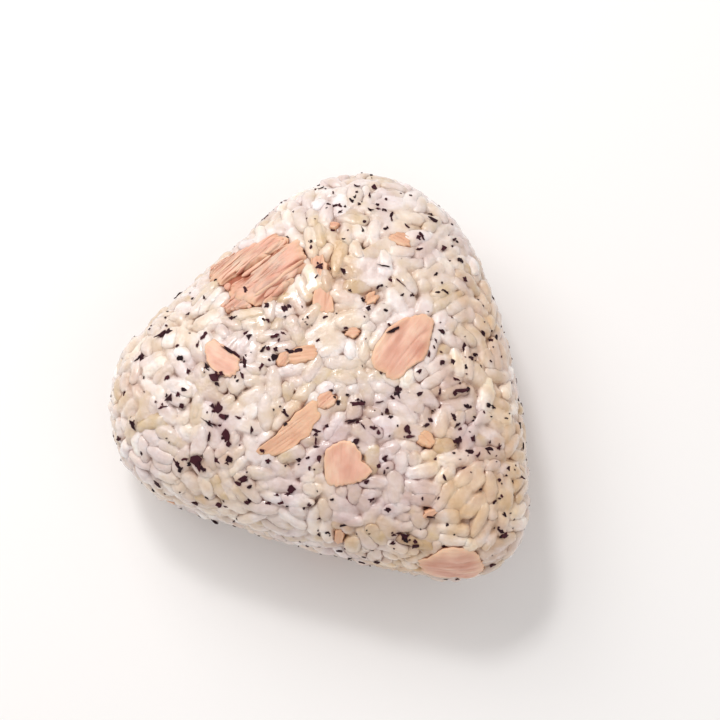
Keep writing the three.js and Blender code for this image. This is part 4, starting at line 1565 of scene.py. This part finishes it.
# %% Cooked rice
def cooked_rice(tree):
    place = add(tree, "ShaderNodeTexCoord").outputs["Object"]
    cloudy = calc(tree, "MULTIPLY_ADD", noise(tree, place, 2.2 * MM, 3.0), 0.9, -0.45)
    milky = calc(tree, "ADD", cloudy, number(tree, "tint"))
    clear = (0.1, "#D8C2A0"), (0.36, "#DFCEBF")
    white = (0.58, "#E7D8D1"), (0.84, "#F5EBE7"), (1.0, "#FFFAF8")
    colour = ramp(tree, milky, *clear, *white)
    drift = noise(tree, place, 6 * MM, 2.0)
    drift = ramp(tree, drift, (0.36, "#FAEDD0"), (0.5, "#FFFEFD"), (0.64, "#EFE4E8"))
    colour = mix(tree, 0.5, colour, drift, "MULTIPLY")
    # painted shade: deep points in the grooves get a darker, warmer colour
    colour = mix(tree, times(tree, number(tree, "groove"), 0.6), colour, "#B58D78")
    # soy stain, and along the right side painted shade, darken the colour warmly
    colour = mix(tree, times(tree, number(tree, "soy"), 0.75), colour, "#F3DAB0", "MULTIPLY")
    # painted shade: seams where little of the way outwards is open are darkened, in patches
    seam_shade = stretch(tree, open_share(tree, 0.6 * MM), 0.85, 0.35)
    patchy = stretch(tree, noise(tree, place, 3 * MM, 1.0), 0.4, 0.6, 0.25)
    seam_shade = times(tree, seam_shade, patchy)
    colour = mix(tree, seam_shade, colour, "#9E7B6B", "MULTIPLY")
    # the purple is a real stain, but it is laid on most strongly in the painted seam shade, so it
    # also darkens the seams as painted shade
    purple = number(tree, "purple")
    purple_in_seam_shade, everywhere = times(tree, seam_shade, 1.2), times(tree, purple, 0.35)
    purple = calc(tree, "MULTIPLY_ADD", purple, purple_in_seam_shade, everywhere)
    colour = mix(tree, purple, colour, "#B98A95", "MULTIPLY")
    return {
        "Base Color": colour,
        "Coat Weight": 0.8,  # the film of starch and water
        "Coat Roughness": 0.1,
        "Coat IOR": 1.38,
        "Roughness": 0.3,
        "IOR": 1.4,
        "Subsurface Weight": 0.35,
        "Subsurface Radius": (1.0, 0.9, 0.8),
        "Subsurface Scale": 0.45 * MM,
        "Normal": bumps_from(tree, noise(tree, place, 1.0 * MM, 2.0), 0.85),
    }


finish(rice, cooked_rice)


# %% Tuna
def cooked_tuna(tree):
    flat = add(tree, "ShaderNodeUVMap", uv_map="fibre")
    along = lambda *scale: add(tree, "ShaderNodeMapping", {"Vector": flat, "Scale": scale})
    fibre = noise(tree, along(3.0, 20.0, 1.0), 1.0, 4.0)
    patch = noise(tree, along(1.7, 2.6, 1.0), 1.0, 2.0)
    flesh = (0.34, "#D99D88"), (0.45, "#E1AC97"), (0.56, "#E9B9A3"), (0.68, "#F1CAB3")
    colour = ramp(tree, patch, *flesh)
    colour = mix(tree, stretch(tree, fibre, 0.52, 0.75, 0.0, 0.38), colour, "#DD9C82")
    # the groove shade is painted shade, dark in the folds, on the walls and under the strands
    shades = ("rim", 0.6, "#F0CDA8"), ("tan", 0.75, "#E2B68E"), ("groove", 0.85, "#A04E30")
    for name, most, shade in shades:
        colour = mix(tree, times(tree, number(tree, name), most), colour, shade)
    # painted shade: between the strands little of the way outwards is open, so the colour there is
    # darkened
    crevice_shade = stretch(tree, open_share(tree, 0.8 * MM), 0.85, 0.25, 0.0, 0.9)
    return {
        "Base Color": mix(tree, crevice_shade, colour, "#A04A28"),
        "Roughness": 0.42,
        "IOR": 1.4,
        "Subsurface Weight": 0.3,
        "Subsurface Radius": (1.0, 0.6, 0.45),
        "Subsurface Scale": 0.6 * MM,
        "Normal": bumps_from(tree, fibre, 0.4),
    }


finish(tuna, cooked_tuna)


# %% Shiso
def dried_shiso(tree):
    colour = ramp(tree, number(tree, "tint"), (0, "#1C0711"), (1, "#451923"))
    return {"Base Color": colour, "Roughness": 0.65, "Specular IOR Level": 0.2}


finish(shiso, dried_shiso)

# %% [markdown]
# ## Floor and light
#
# The floor is pale, so it throws light back under the ball. One soft box models the form, a wide
# weak one opens the shadows, and a small one gives the moist grains their highlights.

# %% Floor
FLOOR_REACH = 3000
pale = bpy.data.materials.new("Pale matt floor")
finish(pale, lambda tree: {"Base Color": linear("#F5F3F2"), "Roughness": 0.6})
corners = [(x * FLOOR_REACH, y * FLOOR_REACH, 0) for x, y in ((-1, -1), (1, -1), (1, 1), (-1, 1))]
floor = mesh_object("floor", corners, [(0, 1, 2, 3)], pale)


# %% Lights
def soft_box(name, azimuth, elevation, distance, side, watts, colour):
    """A square light that faces the ball. Azimuth 0 is the picture's right."""
    data = bpy.data.lights.new(name, "AREA")
    data.size, data.energy, data.color = side, watts, linear(colour)[:3]
    lamp = put_in_scene(name, data)
    turn, lift = math.radians(azimuth) + AZIMUTH, math.radians(elevation)
    flat = math.cos(lift)
    towards = Vector((math.cos(turn) * flat, math.sin(turn) * flat, math.sin(lift)))
    lamp.location = Vector(CENTRE * MM) + towards * distance
    lamp.rotation_euler = towards.to_track_quat("Z", "Y").to_euler()


soft_box("key", 128, 48, 0.5, 0.36, 1.08, "#FFFDFA")
soft_box("fill", -40, 50, 1.0, 0.9, 1.25, "#FFFFFF")
soft_box("sparkle", 115, 62, 0.8, 0.12, 1.4, "#FFFFFF")
world = bpy.data.worlds.new("studio")
bpy.context.scene.world = world
world.use_nodes = True
background = world.node_tree.nodes["Background"].inputs
background["Color"].default_value, background["Strength"].default_value = linear("#FEFCFB"), 0.595
bpy.context.scene.view_settings.view_transform = "Standard"

# %% [markdown]
# ## Handing the pieces over
#
# Every piece rides on the ball's one body and stands for a solid of the model, which is hidden.

# %% Bodies, and where the rice shows
for piece in (mass, loose_grains, flecks):
    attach(piece, "root")
    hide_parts("rice_body")
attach(crumb_piece, "root")
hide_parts("rice_body")
for name, piece in flakes.items():
    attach(piece, "root")
    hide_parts(name)

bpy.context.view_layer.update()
shown = in_picture(mass_points)
print("rice in the picture:", shown.min(0).round(), "to", shown.max(0).round())
